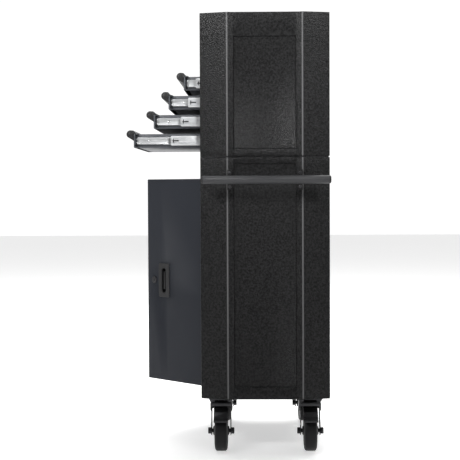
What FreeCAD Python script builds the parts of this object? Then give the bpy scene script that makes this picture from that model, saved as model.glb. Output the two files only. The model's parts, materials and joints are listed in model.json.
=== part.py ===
"""Rolling tool chest: a drawer chest fixed on a two-door cabinet, with a side push bar and four casters.

Millimetres, +Z up, the doors and drawers face -Y, and the push bar is on the +X side. The pieces are
drawn about the cabinet's own centre line, and each is then placed so that the origin of the part is at
the bottom centre of the box around everything.
"""
import FreeCAD, Part
import math
import os
import Sketcher
from FreeCAD import Placement, Rotation, Vector

doc = FreeCAD.newDocument("tool_chest")
sheet = doc.addObject("Spreadsheet::Sheet", "dims")
pieces = []


# --------------------------------------------------------------------------- sizes bound to the sheet
class Size:
    """A length or angle: its number now, and the expression that ties it to the sheet."""

    def __init__(self, value, text):
        self.value = float(value)
        self.text = text

    def __add__(self, other):
        other = size(other)
        return Size(self.value + other.value, f"({self.text} + {other.text})")

    def __radd__(self, other):
        return size(other) + self

    def __sub__(self, other):
        other = size(other)
        return Size(self.value - other.value, f"({self.text} - {other.text})")

    def __rsub__(self, other):
        return size(other) - self

    def __mul__(self, other):
        other = size(other)
        return Size(self.value * other.value, f"({self.text} * {other.text})")

    def __rmul__(self, other):
        return size(other) * self

    def __truediv__(self, other):
        other = size(other)
        return Size(self.value / other.value, f"({self.text} / {other.text})")

    def __neg__(self):
        return self * -1


def size(number):
    return number if isinstance(number, Size) else Size(number, f"({number})")


def cosine(angle):
    return Size(math.cos(math.radians(angle.value)), f"cos({angle.text})")


def sine(angle):
    return Size(math.sin(math.radians(angle.value)), f"sin({angle.text})")


def polar(x, z, radius, angle):
    """The point at this distance and angle from x, z."""
    return x + radius * cosine(angle), z + radius * sine(angle)


rows = {}


def dim(alias, number):
    """Write one driving dimension in the sheet and return it as a Size."""
    row = len(rows) + 1
    rows[alias] = row
    sheet.set(f"A{row}", alias)
    sheet.set(f"B{row}", str(number))
    sheet.setAlias(f"B{row}", alias)
    return Size(number, f"dims.{alias}")


# --------------------------------------------------------------------------- driving dimensions
# whole chest
body_width = dim("body_width", 508)
body_depth = dim("body_depth", 318)
cabinet_height = dim("cabinet_height", 596.5)
chest_height = dim("chest_height", 351.5)
skin = dim("skin", 1.2)
running = dim("running_clearance", 0.05)

# folds of the side panels
side_flat = dim("side_flat", 184)
front_chamfer = dim("front_chamfer", 24)
rear_chamfer = dim("rear_chamfer", 18)
band_width = dim("band_width", 12)
band_drop = dim("band_drop", 3.5)
front_flange = dim("front_flange", 14)
front_return = dim("front_return", 12)
recess_margin = dim("recess_margin", 3)
recess_depth = dim("recess_depth", 3)
cabinet_recess_above_floor = dim("cabinet_recess_above_floor", 30)
cabinet_recess_below_top = dim("cabinet_recess_below_top", 16.5)
chest_recess_above_floor = dim("chest_recess_above_floor", 18.5)
chest_recess_below_top = dim("chest_recess_below_top", 58)
seam_inset = dim("seam_inset", 2.5)
deck_plate = dim("deck_plate", 2)

# cabinet front, shelf and doors
bottom_rail_height = dim("bottom_rail_height", 26.5)
top_rail_height = dim("top_rail_height", 52.5)
rail_return = dim("rail_return", 20)
shelf_height = dim("shelf_height", 290)
shelf_front_setback = dim("shelf_front_setback", 32)
shelf_lip = dim("shelf_lip", 14)
door_gap = dim("door_gap", 1.5)
door_meeting_gap = dim("door_meeting_gap", 3)
door_edge_gap = dim("door_edge_gap", 2.8)
door_depth = dim("door_depth", 15)
pivot_inset = dim("pivot_inset", 6)
pivot_pin_radius = dim("pivot_pin_radius", 3)
pivot_pin_reach = dim("pivot_pin_reach", 6)
pivot_head_radius = dim("pivot_head_radius", 4.5)
pivot_head_thickness = dim("pivot_head_thickness", 3)
door_right_angle = dim("door_right_angle", 45)
door_left_angle = dim("door_left_angle", 45)
pull_from_free_edge = dim("pull_from_free_edge", 64.5)
pull_height = dim("pull_height", 284.5)
pull_plate_width = dim("pull_plate_width", 38)
pull_plate_tall = dim("pull_plate_tall", 84)
pull_plate_thickness = dim("pull_plate_thickness", 1.5)
pull_slot_width = dim("pull_slot_width", 16)
pull_slot_tall = dim("pull_slot_tall", 65)
pull_slot_depth = dim("pull_slot_depth", 11)
pull_wall = dim("pull_wall", 1.5)

# locks
lock_from_free_edge = dim("lock_from_free_edge", 27)
lock_flange_radius = dim("lock_flange_radius", 9)
lock_flange_thickness = dim("lock_flange_thickness", 2)
lock_body_radius = dim("lock_body_radius", 7.5)
lock_past_door = dim("lock_past_door", 1)
lock_plug_radius = dim("lock_plug_radius", 5)
cam_length = dim("cam_length", 36)
cam_width = dim("cam_width", 12)
cam_thickness = dim("cam_thickness", 2)
key_slot_width = dim("key_slot_width", 1.4)
key_slot_length = dim("key_slot_length", 6)
chest_lock_below_top = dim("chest_lock_below_top", 43)

# lid
lid_side_gap = dim("lid_side_gap", 1)
lid_skirt = dim("lid_skirt", 18)
lid_front_gap = dim("lid_front_gap", 1.5)
lid_knuckle_radius = dim("lid_knuckle_radius", 2.2)
lid_pin_radius = dim("lid_pin_radius", 1)
lid_knuckle_gap = dim("lid_knuckle_gap", 0.3)
lid_hinge_setback = dim("lid_hinge_setback", 0.8)
lid_hinge_spacing = dim("lid_hinge_spacing", 280)
lid_hinge_length = dim("lid_hinge_length", 54)
lid_leaf_height = dim("lid_leaf_height", 14)
catch_side = dim("catch_side", 14)
catch_width = dim("catch_width", 16)
catch_setback = dim("catch_setback", 6)
catch_drop = dim("catch_drop", 58)
catch_foot = dim("catch_foot", 18)

# drawers and their slides
drawer_tall = dim("drawer_tall", 34)
drawer_gap = dim("drawer_gap", 13)
drawer_back_room = dim("drawer_back_room", 33)
drawer_side_gap = dim("drawer_side_gap", 1)
lowest_drawer_above_seam = dim("lowest_drawer_above_seam", 23.5)
sill_height = dim("sill_height", 20.5)
header_clearance = dim("header_clearance", 14)
drawer_sheet = dim("drawer_sheet", 1)
slide_space = dim("slide_space", 13)
slide_sheet = dim("slide_sheet", 1)
outer_member_shorter = dim("outer_member_shorter", 5)
outer_member_tall = dim("outer_member_tall", 30)
outer_member_depth = dim("outer_member_depth", 10)
middle_member_tall = dim("middle_member_tall", 24)
middle_member_depth = dim("middle_member_depth", 8.5)
middle_member_shorter = dim("middle_member_shorter", 25)
middle_member_gap = dim("middle_member_gap", 2.5)
middle_member_setback = dim("middle_member_setback", 9)
inner_member_tall = dim("inner_member_tall", 17)
inner_member_depth = dim("inner_member_depth", 8)
inner_member_shorter = dim("inner_member_shorter", 15)
inner_member_setback = dim("inner_member_setback", 7)
grip_radius = dim("grip_radius", 10)
grip_ahead = dim("grip_ahead", 8)
grip_below_edge = dim("grip_below_edge", 1)
grip_saddle = dim("grip_saddle", 1.5)
grip_front_leg = dim("grip_front_leg", 17)
grip_top_leg = dim("grip_top_leg", 10)
drawer_open = [
    dim("drawer_one_open", 40),
    dim("drawer_two_open", 78),
    dim("drawer_three_open", 115),
    dim("drawer_four_open", 164.5),
]

# push bar
bar_radius = dim("bar_radius", 10)
bar_wall = dim("bar_wall", 1.5)
bar_standoff = dim("bar_standoff", 45)
bar_height_below_seam = dim("bar_height_below_seam", 57)
bar_front_end = dim("bar_front_end", 5)
bar_foot_tall = dim("bar_foot_tall", 50)
bar_foot_thickness = dim("bar_foot_thickness", 3)
bar_post_radius = dim("bar_post_radius", 6)

# casters
caster_inset = dim("caster_inset", 61)
caster_edge_inset = dim("caster_edge_inset", 49)
caster_trail = dim("caster_trail", 35)
caster_plate_long = dim("caster_plate_long", 86)
caster_plate_wide = dim("caster_plate_wide", 60)
caster_plate_thickness = dim("caster_plate_thickness", 3)
bolt_span_long = dim("bolt_span_long", 74)
bolt_span_wide = dim("bolt_span_wide", 44)
bolt_radius = dim("bolt_radius", 4)
bolt_hex_radius = dim("bolt_hex_radius", 7)
bolt_head = dim("bolt_head", 4.5)
bolt_nut = dim("bolt_nut", 6)
bolt_hole_clearance = dim("bolt_hole_clearance", 0.25)
raceway_radius = dim("raceway_radius", 24)
raceway_tall = dim("raceway_tall", 6)
king_pin_radius = dim("king_pin_radius", 6)
king_pin_head_radius = dim("king_pin_head_radius", 10)
king_pin_head = dim("king_pin_head", 3.5)
swivel_gap = dim("swivel_gap", 0.3)
fork_width = dim("fork_width", 50)
fork_plate = dim("fork_plate", 2.5)
yoke_thickness = dim("yoke_thickness", 3)
fork_rear = dim("fork_rear", 22)
fork_front = dim("fork_front", 28)
fork_toe = dim("fork_toe", 11)
fixed_leg_top = dim("fixed_leg_top", 26)
wheel_radius = dim("wheel_radius", 50)
wheel_top_gap = dim("wheel_top_gap", 17.7)
wheel_hub_radius = dim("wheel_hub_radius", 12)
wheel_hub_width = dim("wheel_hub_width", 40)
wheel_body_width = dim("wheel_body_width", 36)
tread_width = dim("tread_width", 28)
tread_depth = dim("tread_depth", 10)
tread_shoulder = dim("tread_shoulder", 3)
axle_radius = dim("axle_radius", 5)
axle_hex_radius = dim("axle_hex_radius", 8.5)
axle_head = dim("axle_head", 7.5)
pedal_width = dim("pedal_width", 35)
pedal_gap = dim("pedal_gap", 7.5)
pedal_plate = dim("pedal_plate", 2.5)
pedal_low_angle = dim("pedal_low_angle", 30)
pedal_high_angle = dim("pedal_high_angle", 112)
pedal_tab = dim("pedal_tab", 10)
pedal_pin_radius = dim("pedal_pin_radius", 3)

# --------------------------------------------------------------------------- shared places
half_width = body_width / 2
front = -body_depth / 2
back = body_depth / 2
race_z = 2 * wheel_radius + wheel_top_gap + yoke_thickness + swivel_gap
caster_plate_low = race_z + raceway_tall
floor_z = caster_plate_low + caster_plate_thickness
seam_z = floor_z + cabinet_height
top_z = seam_z + chest_height
bend = side_flat / 2
band_edge = bend - band_width
flat_x = half_width - band_drop
corner_front = half_width - front_chamfer
corner_rear = half_width - rear_chamfer
opening = corner_front - front_flange
front_lean = front_chamfer / (back - bend)
rear_lean = rear_chamfer / (back - bend)
recess_half = band_edge - recess_margin
bar_x = half_width + bar_standoff
bar_z = seam_z - bar_height_below_seam
rail_low_z = floor_z + bottom_rail_height
rail_high_z = seam_z - top_rail_height
pivot_x = opening - door_edge_gap - pivot_inset
pivot_y = front + pivot_inset
lock_body_depth = door_depth + lock_past_door
chest_lock_z = top_z - chest_lock_below_top
drawer_pitch = drawer_tall + drawer_gap
drawer_length = body_depth - drawer_back_room
header_low = seam_z + lowest_drawer_above_seam + 3 * drawer_pitch + drawer_tall + header_clearance
lid_axis_y = back - lid_hinge_setback
lid_axis_z = top_z - lid_skirt - lid_knuckle_radius - lid_knuckle_gap
chest_back_high = lid_axis_z - lid_knuckle_radius - lid_knuckle_gap

# the box around everything, from the left side panel to the push bar, and from the longest drawer's
# grip to the back of the lid's hinges
reach = drawer_open[3] + grip_ahead + grip_radius
box_right = bar_x + bar_radius
box_front = front - reach
box_back = lid_axis_y + lid_knuckle_radius
shift_x = (half_width - box_right) / 2
shift_y = -(box_front + box_back) / 2


# --------------------------------------------------------------------------- building blocks
def bind(obj, path, value):
    obj.setExpression(path, size(value).text)


def place(obj, x=0, y=0, z=0, axis=(0, 0, 1), angle=0):
    corner = Vector(size(x).value, size(y).value, size(z).value)
    obj.Placement = Placement(corner, Rotation(Vector(*axis), size(angle).value))
    bind(obj, "Placement.Base.x", x)
    bind(obj, "Placement.Base.y", y)
    bind(obj, "Placement.Base.z", z)
    if isinstance(angle, Size):
        bind(obj, "Placement.Rotation.Angle", angle)


def box(name, x, y, z):
    """A block between the two values given along each axis."""
    block = doc.addObject("Part::Box", name)
    bind(block, "Length", x[1] - x[0])
    bind(block, "Width", y[1] - y[0])
    bind(block, "Height", z[1] - z[0])
    place(block, x[0], y[0], z[0])
    return block


TURN = {"x": ((0, 1, 0), 90), "y": ((1, 0, 0), -90), "z": ((0, 0, 1), 0)}


def cylinder(name, start, along, length, radius):
    rod = doc.addObject("Part::Cylinder", name)
    bind(rod, "Radius", radius)
    bind(rod, "Height", length)
    axis, angle = TURN[along]
    place(rod, *start, axis=axis, angle=angle)
    return rod


def hexagon(name, start, along, length, radius):
    bar = doc.addObject("Part::Prism", name)
    bar.Polygon = 6
    bind(bar, "Circumradius", radius)
    bind(bar, "Height", length)
    axis, angle = TURN[along]
    place(bar, *start, axis=axis, angle=angle)
    return bar


def fused(name, *parts):
    union = doc.addObject("Part::MultiFuse", name)
    union.Shapes = list(parts)
    union.Refine = True
    return union


def cut(name, base, *tools):
    result = doc.addObject("Part::Cut", name)
    result.Base = base
    result.Tool = tools[0] if len(tools) == 1 else fused(name + "_tools", *tools)
    result.Refine = True
    return result


def sketch_on(body, plane, name, outline, offset):
    """A closed outline on one of the body's own planes, every corner tied to the sheet."""
    sketch = body.newObject("Sketcher::SketchObject", name)
    support = next(item for item in body.Origin.OriginFeatures if item.Role == plane + "_Plane")
    sketch.AttachmentSupport = [(support, "")]
    sketch.MapMode = "FlatFace"
    bind(sketch, "AttachmentOffset.Base.z", offset)
    corners = [(size(u), size(v)) for u, v in outline]
    count = len(corners)
    for number in range(count):
        here = corners[number]
        there = corners[(number + 1) % count]
        start = Vector(here[0].value, here[1].value, 0)
        end = Vector(there[0].value, there[1].value, 0)
        sketch.addGeometry(Part.LineSegment(start, end), False)
    for number in range(count):
        sketch.addConstraint(Sketcher.Constraint("Coincident", number, 2, (number + 1) % count, 1))
    for number, corner in enumerate(corners):
        for kind, value in zip(("DistanceX", "DistanceY"), corner):
            index = sketch.addConstraint(Sketcher.Constraint(kind, -1, 1, number, 1, value.value))
            bind(sketch, f"Constraints[{index}]", value)
    return sketch


def new_body(name):
    return doc.addObject("PartDesign::Body", name)


def pad(body, plane, outline, low, high):
    """Add the outline to the body from low to high along the plane's normal axis."""
    number = len(body.Group)
    offset = -high if plane == "XZ" else low
    sketch = sketch_on(body, plane, f"{body.Name}_outline_{number}", outline, offset)
    feature = body.newObject("PartDesign::Pad", f"{body.Name}_pad_{number}")
    feature.Profile = sketch
    bind(feature, "Length", high - low)
    return body


def pocket(body, plane, outline, low, high):
    """Take the outline out of the body from low to high, and see that it really cuts."""
    doc.recompute()
    before = body.Shape.Volume
    number = len(body.Group)
    offset = -low if plane == "XZ" else high
    sketch = sketch_on(body, plane, f"{body.Name}_outline_{number}", outline, offset)
    feature = body.newObject("PartDesign::Pocket", f"{body.Name}_pocket_{number}")
    feature.Profile = sketch
    bind(feature, "Length", high - low)
    doc.recompute()
    if not body.Shape.Volume < before:
        raise RuntimeError(f"{body.Name}: a pocket cuts nothing")
    return body


def prism(name, plane, outline, low, high):
    return pad(new_body(name), plane, outline, size(low), size(high))


def revolved(name, outline):
    """A solid of revolution about Y, from (y, radius) corners."""
    body = new_body(name)
    sketch = sketch_on(body, "YZ", name + "_outline", outline, 0)
    feature = body.newObject("PartDesign::Revolution", name + "_revolution")
    feature.Profile = sketch
    feature.ReferenceAxis = (sketch, ["H_Axis"])
    feature.Angle = 360
    return body


def rectangle(u, v):
    return [(u[0], v[0]), (u[1], v[0]), (u[1], v[1]), (u[0], v[1])]


def about(centre, width):
    return (centre - width / 2, centre + width / 2)


def ordered(sign, low, high):
    """A span on the +X side, or its mirror image on the -X side."""
    return (low, high) if sign > 0 else (-high, -low)


def piece(name, *solids, x=0, y=0, z=0, angle=0):
    """One named sub-part: its solids as one group, placed in the part's own frame."""
    group = doc.addObject("Part::Compound", name)
    group.Links = list(solids)
    place(group, x + shift_x, y + shift_y, z, angle=angle)
    pieces.append((name, group, len(solids)))


# --------------------------------------------------------------------------- cabinet and chest shells
def side_outline(sign):
    """Section of a folded side panel: front return and flange, slopes, bands, flat, rear flange."""
    outer = [
        (opening, front + front_return),
        (opening, front),
        (corner_front, front),
        (half_width, -bend),
        (flat_x, -band_edge),
        (flat_x, band_edge),
        (half_width, bend),
        (corner_rear, back),
        (opening, back),
    ]
    inner = [
        (opening, back - skin),
        (corner_rear - skin + skin * rear_lean, back - skin),
        (half_width - skin, bend),
        (flat_x - skin, band_edge),
        (flat_x - skin, -band_edge),
        (half_width - skin, -bend),
        (corner_front - skin + skin * front_lean, front + skin),
        (opening + skin, front + skin),
        (opening + skin, front + front_return),
    ]
    return [(u * sign, v) for u, v in outer + inner]


def cap_outline(sign):
    """Plan of the flange that closes the end of a side panel."""
    return [(u * sign, v) for u, v in half_outline(0, 0) + [(opening, back), (opening, front)]]


def half_outline(inset, front_inset):
    """Plan of the chest's +X half, drawn in from its outer faces by the inset."""
    return [
        (corner_front - inset, front + front_inset),
        (half_width - inset, -bend),
        (flat_x - inset, -band_edge),
        (flat_x - inset, band_edge),
        (half_width - inset, bend),
        (corner_rear - inset, back - inset),
    ]


def full_outline(inset, front_inset):
    right = half_outline(inset, front_inset)
    left = [(-u, v) for u, v in reversed(right)]
    return right + left


def side_panel(name, sign, low, high, recess_low, recess_high, capped_ends):
    body = prism(name + "_folded", "XY", side_outline(sign), low, high)
    for end in capped_ends:
        pad(body, "XY", cap_outline(sign), end, end + skin)
    floor_x = flat_x - recess_depth
    back_face = rectangle(
        (-recess_half - skin, recess_half + skin), (recess_low - skin, recess_high + skin)
    )
    pad(body, "YZ", back_face, *ordered(sign, floor_x - skin, flat_x - skin / 2))
    face = rectangle((-recess_half, recess_half), (recess_low, recess_high))
    pocket(body, "YZ", face, *ordered(sign, floor_x, flat_x))
    piece(name, body)


def caster_places(side):
    """Centres of the two casters under one side."""
    x = side * (half_width - caster_inset)
    return [(x, front + caster_edge_inset), (x, back - caster_edge_inset)]


def bolt_pattern(x, y):
    """Centres of the four bolts of the caster at x, y."""
    return [(u, v) for u in about(x, bolt_span_long) for v in about(y, bolt_span_wide)]


def bolt_places():
    places = caster_places(1) + caster_places(-1)
    return [bolt for x, y in places for bolt in bolt_pattern(x, y)]


def build_cabinet():
    low = floor_z + deck_plate
    high = seam_z - deck_plate
    for side, sign in (("right", 1), ("left", -1)):
        side_panel(
            f"cabinet_side_{side}", sign, low, high,
            floor_z + cabinet_recess_above_floor, seam_z - cabinet_recess_below_top, [high - skin],
        )
    piece("cabinet_back", box("cabinet_back_sheet", (-opening, opening), (back - skin, back), (low, high)))
    piece("cabinet_top", prism("cabinet_top_plate", "XY", full_outline(seam_inset, size(0)), high, seam_z))

    deck = prism("cabinet_floor_plate", "XY", full_outline(size(0), size(0)), floor_z, low)
    radius = bolt_radius + bolt_hole_clearance
    holes = [
        cylinder(f"floor_hole_{number}", (x, y, floor_z), "z", deck_plate, radius)
        for number, (x, y) in enumerate(bolt_places())
    ]
    piece("cabinet_floor", cut("cabinet_floor_drilled", deck, *holes))

    wide = (-opening, opening)
    face = (front, front + skin)
    ledge = (front, front + rail_return)
    for name, rail, shelf_z in (
        ("cabinet_bottom_rail", (low, rail_low_z), (rail_low_z - skin, rail_low_z)),
        ("cabinet_top_rail", (rail_high_z, high), (rail_high_z, rail_high_z + skin)),
    ):
        upright = box(name + "_face", wide, face, rail)
        folded = fused(name + "_folded", upright, box(name + "_ledge", wide, ledge, shelf_z))
        pins = []
        for sign in (1, -1):
            start = (pivot_x * sign, pivot_y, shelf_z[0])
            pins.append(cylinder(f"{name}_pin_hole_{sign}", start, "z", skin, pivot_pin_radius))
        piece(name, cut(name + "_drilled", folded, *pins))

    shelf_z = floor_z + shelf_height
    shelf_front = front + shelf_front_setback
    side_x = flat_x - recess_depth - skin
    corner_x = corner_front - skin
    outline = [
        (corner_x, shelf_front),
        (side_x, -recess_half),
        (side_x, recess_half),
        (opening, back - skin),
    ]
    outline = outline + [(-u, v) for u, v in reversed(outline)]
    deck = prism("shelf_deck", "XY", outline, shelf_z - skin, shelf_z)
    lip_deep = (shelf_front, shelf_front + skin)
    lip = box("shelf_front_lip", (-corner_x, corner_x), lip_deep, (shelf_z - shelf_lip, shelf_z))
    piece("cabinet_shelf", fused("shelf_folded", deck, lip))


def build_chest():
    low = seam_z + skin
    for side, sign in (("right", 1), ("left", -1)):
        side_panel(
            f"chest_side_{side}", sign, low, top_z,
            seam_z + chest_recess_above_floor, top_z - chest_recess_below_top, [low, top_z - skin],
        )
    deep = (front + front_return, back - skin)
    liners = [
        box(f"chest_liner_{side}", ordered(sign, opening, opening + skin), deep, (low + skin, top_z - skin))
        for side, sign in (("right", 1), ("left", -1))
    ]
    piece("chest_liners", *liners)

    wide = (-opening, opening)
    face = (front, front + skin)
    deck = prism("chest_floor_plate", "XY", full_outline(seam_inset, size(0)), seam_z, low)
    sill = box("chest_floor_sill", wide, face, (seam_z, seam_z + sill_height))
    piece("chest_floor", fused("chest_floor_folded", deck, sill))
    piece("chest_back", box("chest_back_sheet", wide, (back - skin, back), (low, chest_back_high)))
    tray = box("compartment_sheet", wide, (front + skin, back - skin), (header_low, header_low + skin))
    piece("compartment_floor", tray)
    panel = box("chest_header_sheet", wide, face, (header_low, top_z - lid_skirt - lid_front_gap))
    hole = cylinder("chest_header_lock_hole", (0, front, chest_lock_z), "y", skin, lock_body_radius)
    piece("chest_header", cut("chest_header_drilled", panel, hole))


def build_lid():
    edge = opening - lid_side_gap
    skirt_z = top_z - lid_skirt
    block = box("lid_block", (-edge, edge), (front, back), (skirt_z, top_z))
    hollow = box(
        "lid_hollow", (skin - edge, edge - skin), (front + skin, back - skin), (skirt_z, top_z - skin)
    )
    catch_y = front + catch_setback
    catch_z = top_z - catch_drop
    across = (catch_side, catch_side + catch_width)
    strap = box("lid_catch_strap", across, (catch_y, catch_y + skin), (catch_z, top_z - skin / 2))
    foot = box("lid_catch_foot", across, (catch_y, catch_y + catch_foot), (catch_z, catch_z + skin))
    piece("lid", fused("lid_folded", cut("lid_pan", block, hollow), strap, foot))

    leaf_y = (back - 2 * skin, back - skin)
    knuckle = (lid_hinge_length - 2 * lid_knuckle_gap) / 3
    clear = lid_knuckle_radius + lid_knuckle_gap
    lower = []
    upper = []
    for number, centre in enumerate((-lid_hinge_spacing / 2, lid_hinge_spacing / 2)):
        name = f"lid_hinge_{number}"
        ends = about(centre, lid_hinge_length)
        middle = about(centre, knuckle)
        low = lid_axis_z - clear
        solids = [
            box(name + "_lower_plate", ends, leaf_y, (low - lid_leaf_height, low)),
            knuckle_rod(name + "_pin", ends[0], lid_hinge_length, lid_pin_radius),
        ]
        for index, start in enumerate((ends[0], middle[1] + lid_knuckle_gap)):
            tongue = (start, start + knuckle)
            solids.append(knuckle_rod(f"{name}_lower_knuckle_{index}", start, knuckle, lid_knuckle_radius))
            solids.append(box(f"{name}_lower_tongue_{index}", tongue, leaf_y, (low, lid_axis_z)))
        lower.append(fused(name + "_lower", *solids))

        high = lid_axis_z + clear
        leaf = fused(
            name + "_upper_leaf",
            box(name + "_upper_plate", ends, leaf_y, (high, high + lid_leaf_height)),
            box(name + "_upper_tongue", middle, leaf_y, (lid_axis_z, high)),
            knuckle_rod(name + "_upper_knuckle", middle[0], knuckle, lid_knuckle_radius),
        )
        bore = knuckle_rod(name + "_bore", middle[0], knuckle, lid_pin_radius + running)
        upper.append(cut(name + "_upper", leaf, bore))
    piece("lid_hinge_lower_leaves", *lower)
    piece("lid_hinge_upper_leaves", *upper)


def knuckle_rod(name, start, length, radius):
    """A round along the lid's hinge axis."""
    return cylinder(name, (start, lid_axis_y, lid_axis_z), "x", length, radius)


# --------------------------------------------------------------------------- locks, doors and pulls
def lock_case(name, x, face_y, z):
    """Round lock case through a sheet whose outer face is at face_y, with a bore for the plug."""
    depth = lock_flange_thickness + lock_body_depth
    start = (x, face_y - lock_flange_thickness, z)
    flange = cylinder(name + "_flange", start, "y", lock_flange_thickness, lock_flange_radius)
    barrel = cylinder(name + "_barrel", (x, face_y, z), "y", lock_body_depth, lock_body_radius)
    bore = cylinder(name + "_bore", start, "y", depth, lock_plug_radius + running)
    return cut(name + "_bored", fused(name + "_solid", flange, barrel), bore)


def lock_plug(name, x, face_y, z, way):
    """Key plug with its cam, which points up (way 1) or down (way -1) when unlocked."""
    start = face_y - lock_flange_thickness
    cam_y = face_y + lock_body_depth + swivel_gap
    end = cam_y + cam_thickness
    tall = [z + level for level in ordered(way, -cam_width / 2, cam_length)]
    deep = (start, start + key_slot_length)
    plug = cylinder(name + "_plug", (x, start, z), "y", end - start, lock_plug_radius)
    cam = box(name + "_cam", about(x, cam_width), (cam_y, end), tall)
    slot = box(name + "_key_slot", about(x, key_slot_width), deep, about(z, key_slot_length))
    return cut(name + "_slotted", fused(name + "_solid", plug, cam), slot)


def build_pull(name, x, face_y, z):
    """Flush pull: a thin plate on the sheet and a blind cup through it."""
    plate_y = face_y - pull_plate_thickness
    floor_y = face_y + pull_slot_depth
    radius = pull_slot_width / 2
    straight = pull_slot_tall - pull_slot_width
    cup_x, cup_z = cup_spans(x, z)
    plate = box(name + "_plate", about(x, pull_plate_width), (plate_y, face_y), about(z, pull_plate_tall))
    cup = box(name + "_cup", cup_x, (face_y, floor_y + pull_wall), cup_z)
    slot = box(name + "_slot", about(x, pull_slot_width), (plate_y, floor_y), about(z, straight))
    ends = [
        cylinder(f"{name}_slot_end_{index}", (x, plate_y, end), "y", floor_y - plate_y, radius)
        for index, end in enumerate(about(z, straight))
    ]
    return cut(name + "_hollowed", fused(name + "_solid", plate, cup), slot, *ends)


def cup_spans(x, z):
    """Width and height of a pull's cup, and of the hole for it."""
    return about(x, pull_slot_width + 2 * pull_wall), about(z, pull_slot_tall + 2 * pull_wall)


def build_door(side, sign, angle):
    """One leaf, drawn shut about its pivot and then turned open."""
    edge = pivot_inset
    width = pivot_x + pivot_inset - door_meeting_gap / 2
    face = -pivot_inset
    low = rail_low_z + door_gap
    high = rail_high_z - door_gap
    name = f"door_{side}"
    across = ordered(sign, edge - width, edge)
    block = box(name + "_block", across, (face, face + door_depth), (low, high))
    inside = (across[0] + skin, across[1] - skin)
    hollow = box(name + "_hollow", inside, (face + skin, face + door_depth), (low + skin, high - skin))
    pull_x = (edge - width + pull_from_free_edge) * sign
    pull_z = floor_z + pull_height
    cup_x, cup_z = cup_spans(pull_x, pull_z)
    tools = [hollow, box(name + "_pull_hole", cup_x, (face, face + skin), cup_z)]
    bore = pivot_pin_radius + running
    for end, z in (("low", low), ("high", high - skin)):
        tools.append(cylinder(f"{name}_pivot_hole_{end}", (0, 0, z), "z", skin, bore))
    lock_x = edge - width + lock_from_free_edge
    if sign > 0:
        tools.append(cylinder(name + "_lock_hole", (lock_x, face, pull_z), "y", skin, lock_body_radius))
    spot = {"x": pivot_x * sign, "y": pivot_y, "angle": angle * sign}
    piece(name, cut(name + "_pan", block, *tools), **spot)
    piece(f"door_pull_{side}", build_pull(f"door_pull_{side}", pull_x, face, pull_z), **spot)
    if sign > 0:
        piece("door_lock_case", lock_case("door_lock_case", lock_x, face, pull_z), **spot)
        piece("door_lock_cylinder", lock_plug("door_lock", lock_x, face, pull_z, -1), **spot)


def build_pivot_pins():
    pins = []
    length = pivot_pin_reach + skin
    for side, sign in (("right", 1), ("left", -1)):
        x = pivot_x * sign
        for end, shank_z, head_z in (
            ("low", rail_low_z - skin, rail_low_z - skin - pivot_head_thickness),
            ("high", rail_high_z - pivot_pin_reach, rail_high_z + skin),
        ):
            name = f"pivot_{side}_{end}"
            start = (x, pivot_y, head_z)
            shank = cylinder(name + "_shank", (x, pivot_y, shank_z), "z", length, pivot_pin_radius)
            head = cylinder(name + "_head", start, "z", pivot_head_thickness, pivot_head_radius)
            pins.append(fused(name, shank, head))
    piece("door_pivot_pins", *pins)


# --------------------------------------------------------------------------- drawers and slides
def channel(sign, web_x, lip_x, tall, z):
    """Section of a slide member: a web and two flanges that reach from it to lip_x."""
    thick = slide_sheet if lip_x.value > web_x.value else -slide_sheet
    half = tall / 2
    outline = [
        (web_x, z - half),
        (lip_x, z - half),
        (lip_x, z - half + slide_sheet),
        (web_x + thick, z - half + slide_sheet),
        (web_x + thick, z + half - slide_sheet),
        (lip_x, z + half - slide_sheet),
        (lip_x, z + half),
        (web_x, z + half),
    ]
    return [(u * sign, v) for u, v in outline]


def slide_pair(name, web_x, lip_x, tall, z, start, length):
    return [
        prism(f"{name}_{side}", "XZ", channel(sign, web_x, lip_x, tall, z), start, start + length)
        for side, sign in (("right", 1), ("left", -1))
    ]


def build_drawers():
    inner_x = opening - slide_space
    middle_x = opening - middle_member_gap
    outer_members = []
    for number in range(4):
        low = seam_z + lowest_drawer_above_seam + drawer_pitch * (3 - number)
        high = low + drawer_tall
        centre = low + drawer_tall / 2
        out = drawer_open[number]
        name = f"drawer_{number + 1}"

        tray = box(name + "_block", (-inner_x, inner_x), (front, front + drawer_length), (low, high))
        hollow = box(
            name + "_hollow", (drawer_sheet - inner_x, inner_x - drawer_sheet),
            (front + drawer_sheet, front + drawer_length - drawer_sheet), (low + drawer_sheet, high),
        )
        edge = opening - drawer_side_gap
        face = box(name + "_face", (-edge, edge), (front, front + drawer_sheet), (low, high))
        piece(name, fused(name + "_folded", cut(name + "_pan", tray, hollow), face), y=-out)
        piece(name + "_handle", build_grip(name, edge, high), y=-out)
        inner = slide_pair(
            name + "_inner_member", inner_x, inner_x + inner_member_depth, inner_member_tall, centre,
            front + inner_member_setback, drawer_length - inner_member_shorter,
        )
        piece(name + "_inner_members", *inner, y=-out)
        middle = slide_pair(
            name + "_middle_member", middle_x, middle_x - middle_member_depth, middle_member_tall, centre,
            front + middle_member_setback, drawer_length - middle_member_shorter,
        )
        piece(name + "_middle_members", *middle, y=-out / 2)
        outer_members += slide_pair(
            name + "_outer_member", opening, opening - outer_member_depth, outer_member_tall, centre,
            front + middle_member_setback, drawer_length - outer_member_shorter,
        )
    piece("slide_outer_members", *outer_members)


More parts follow.
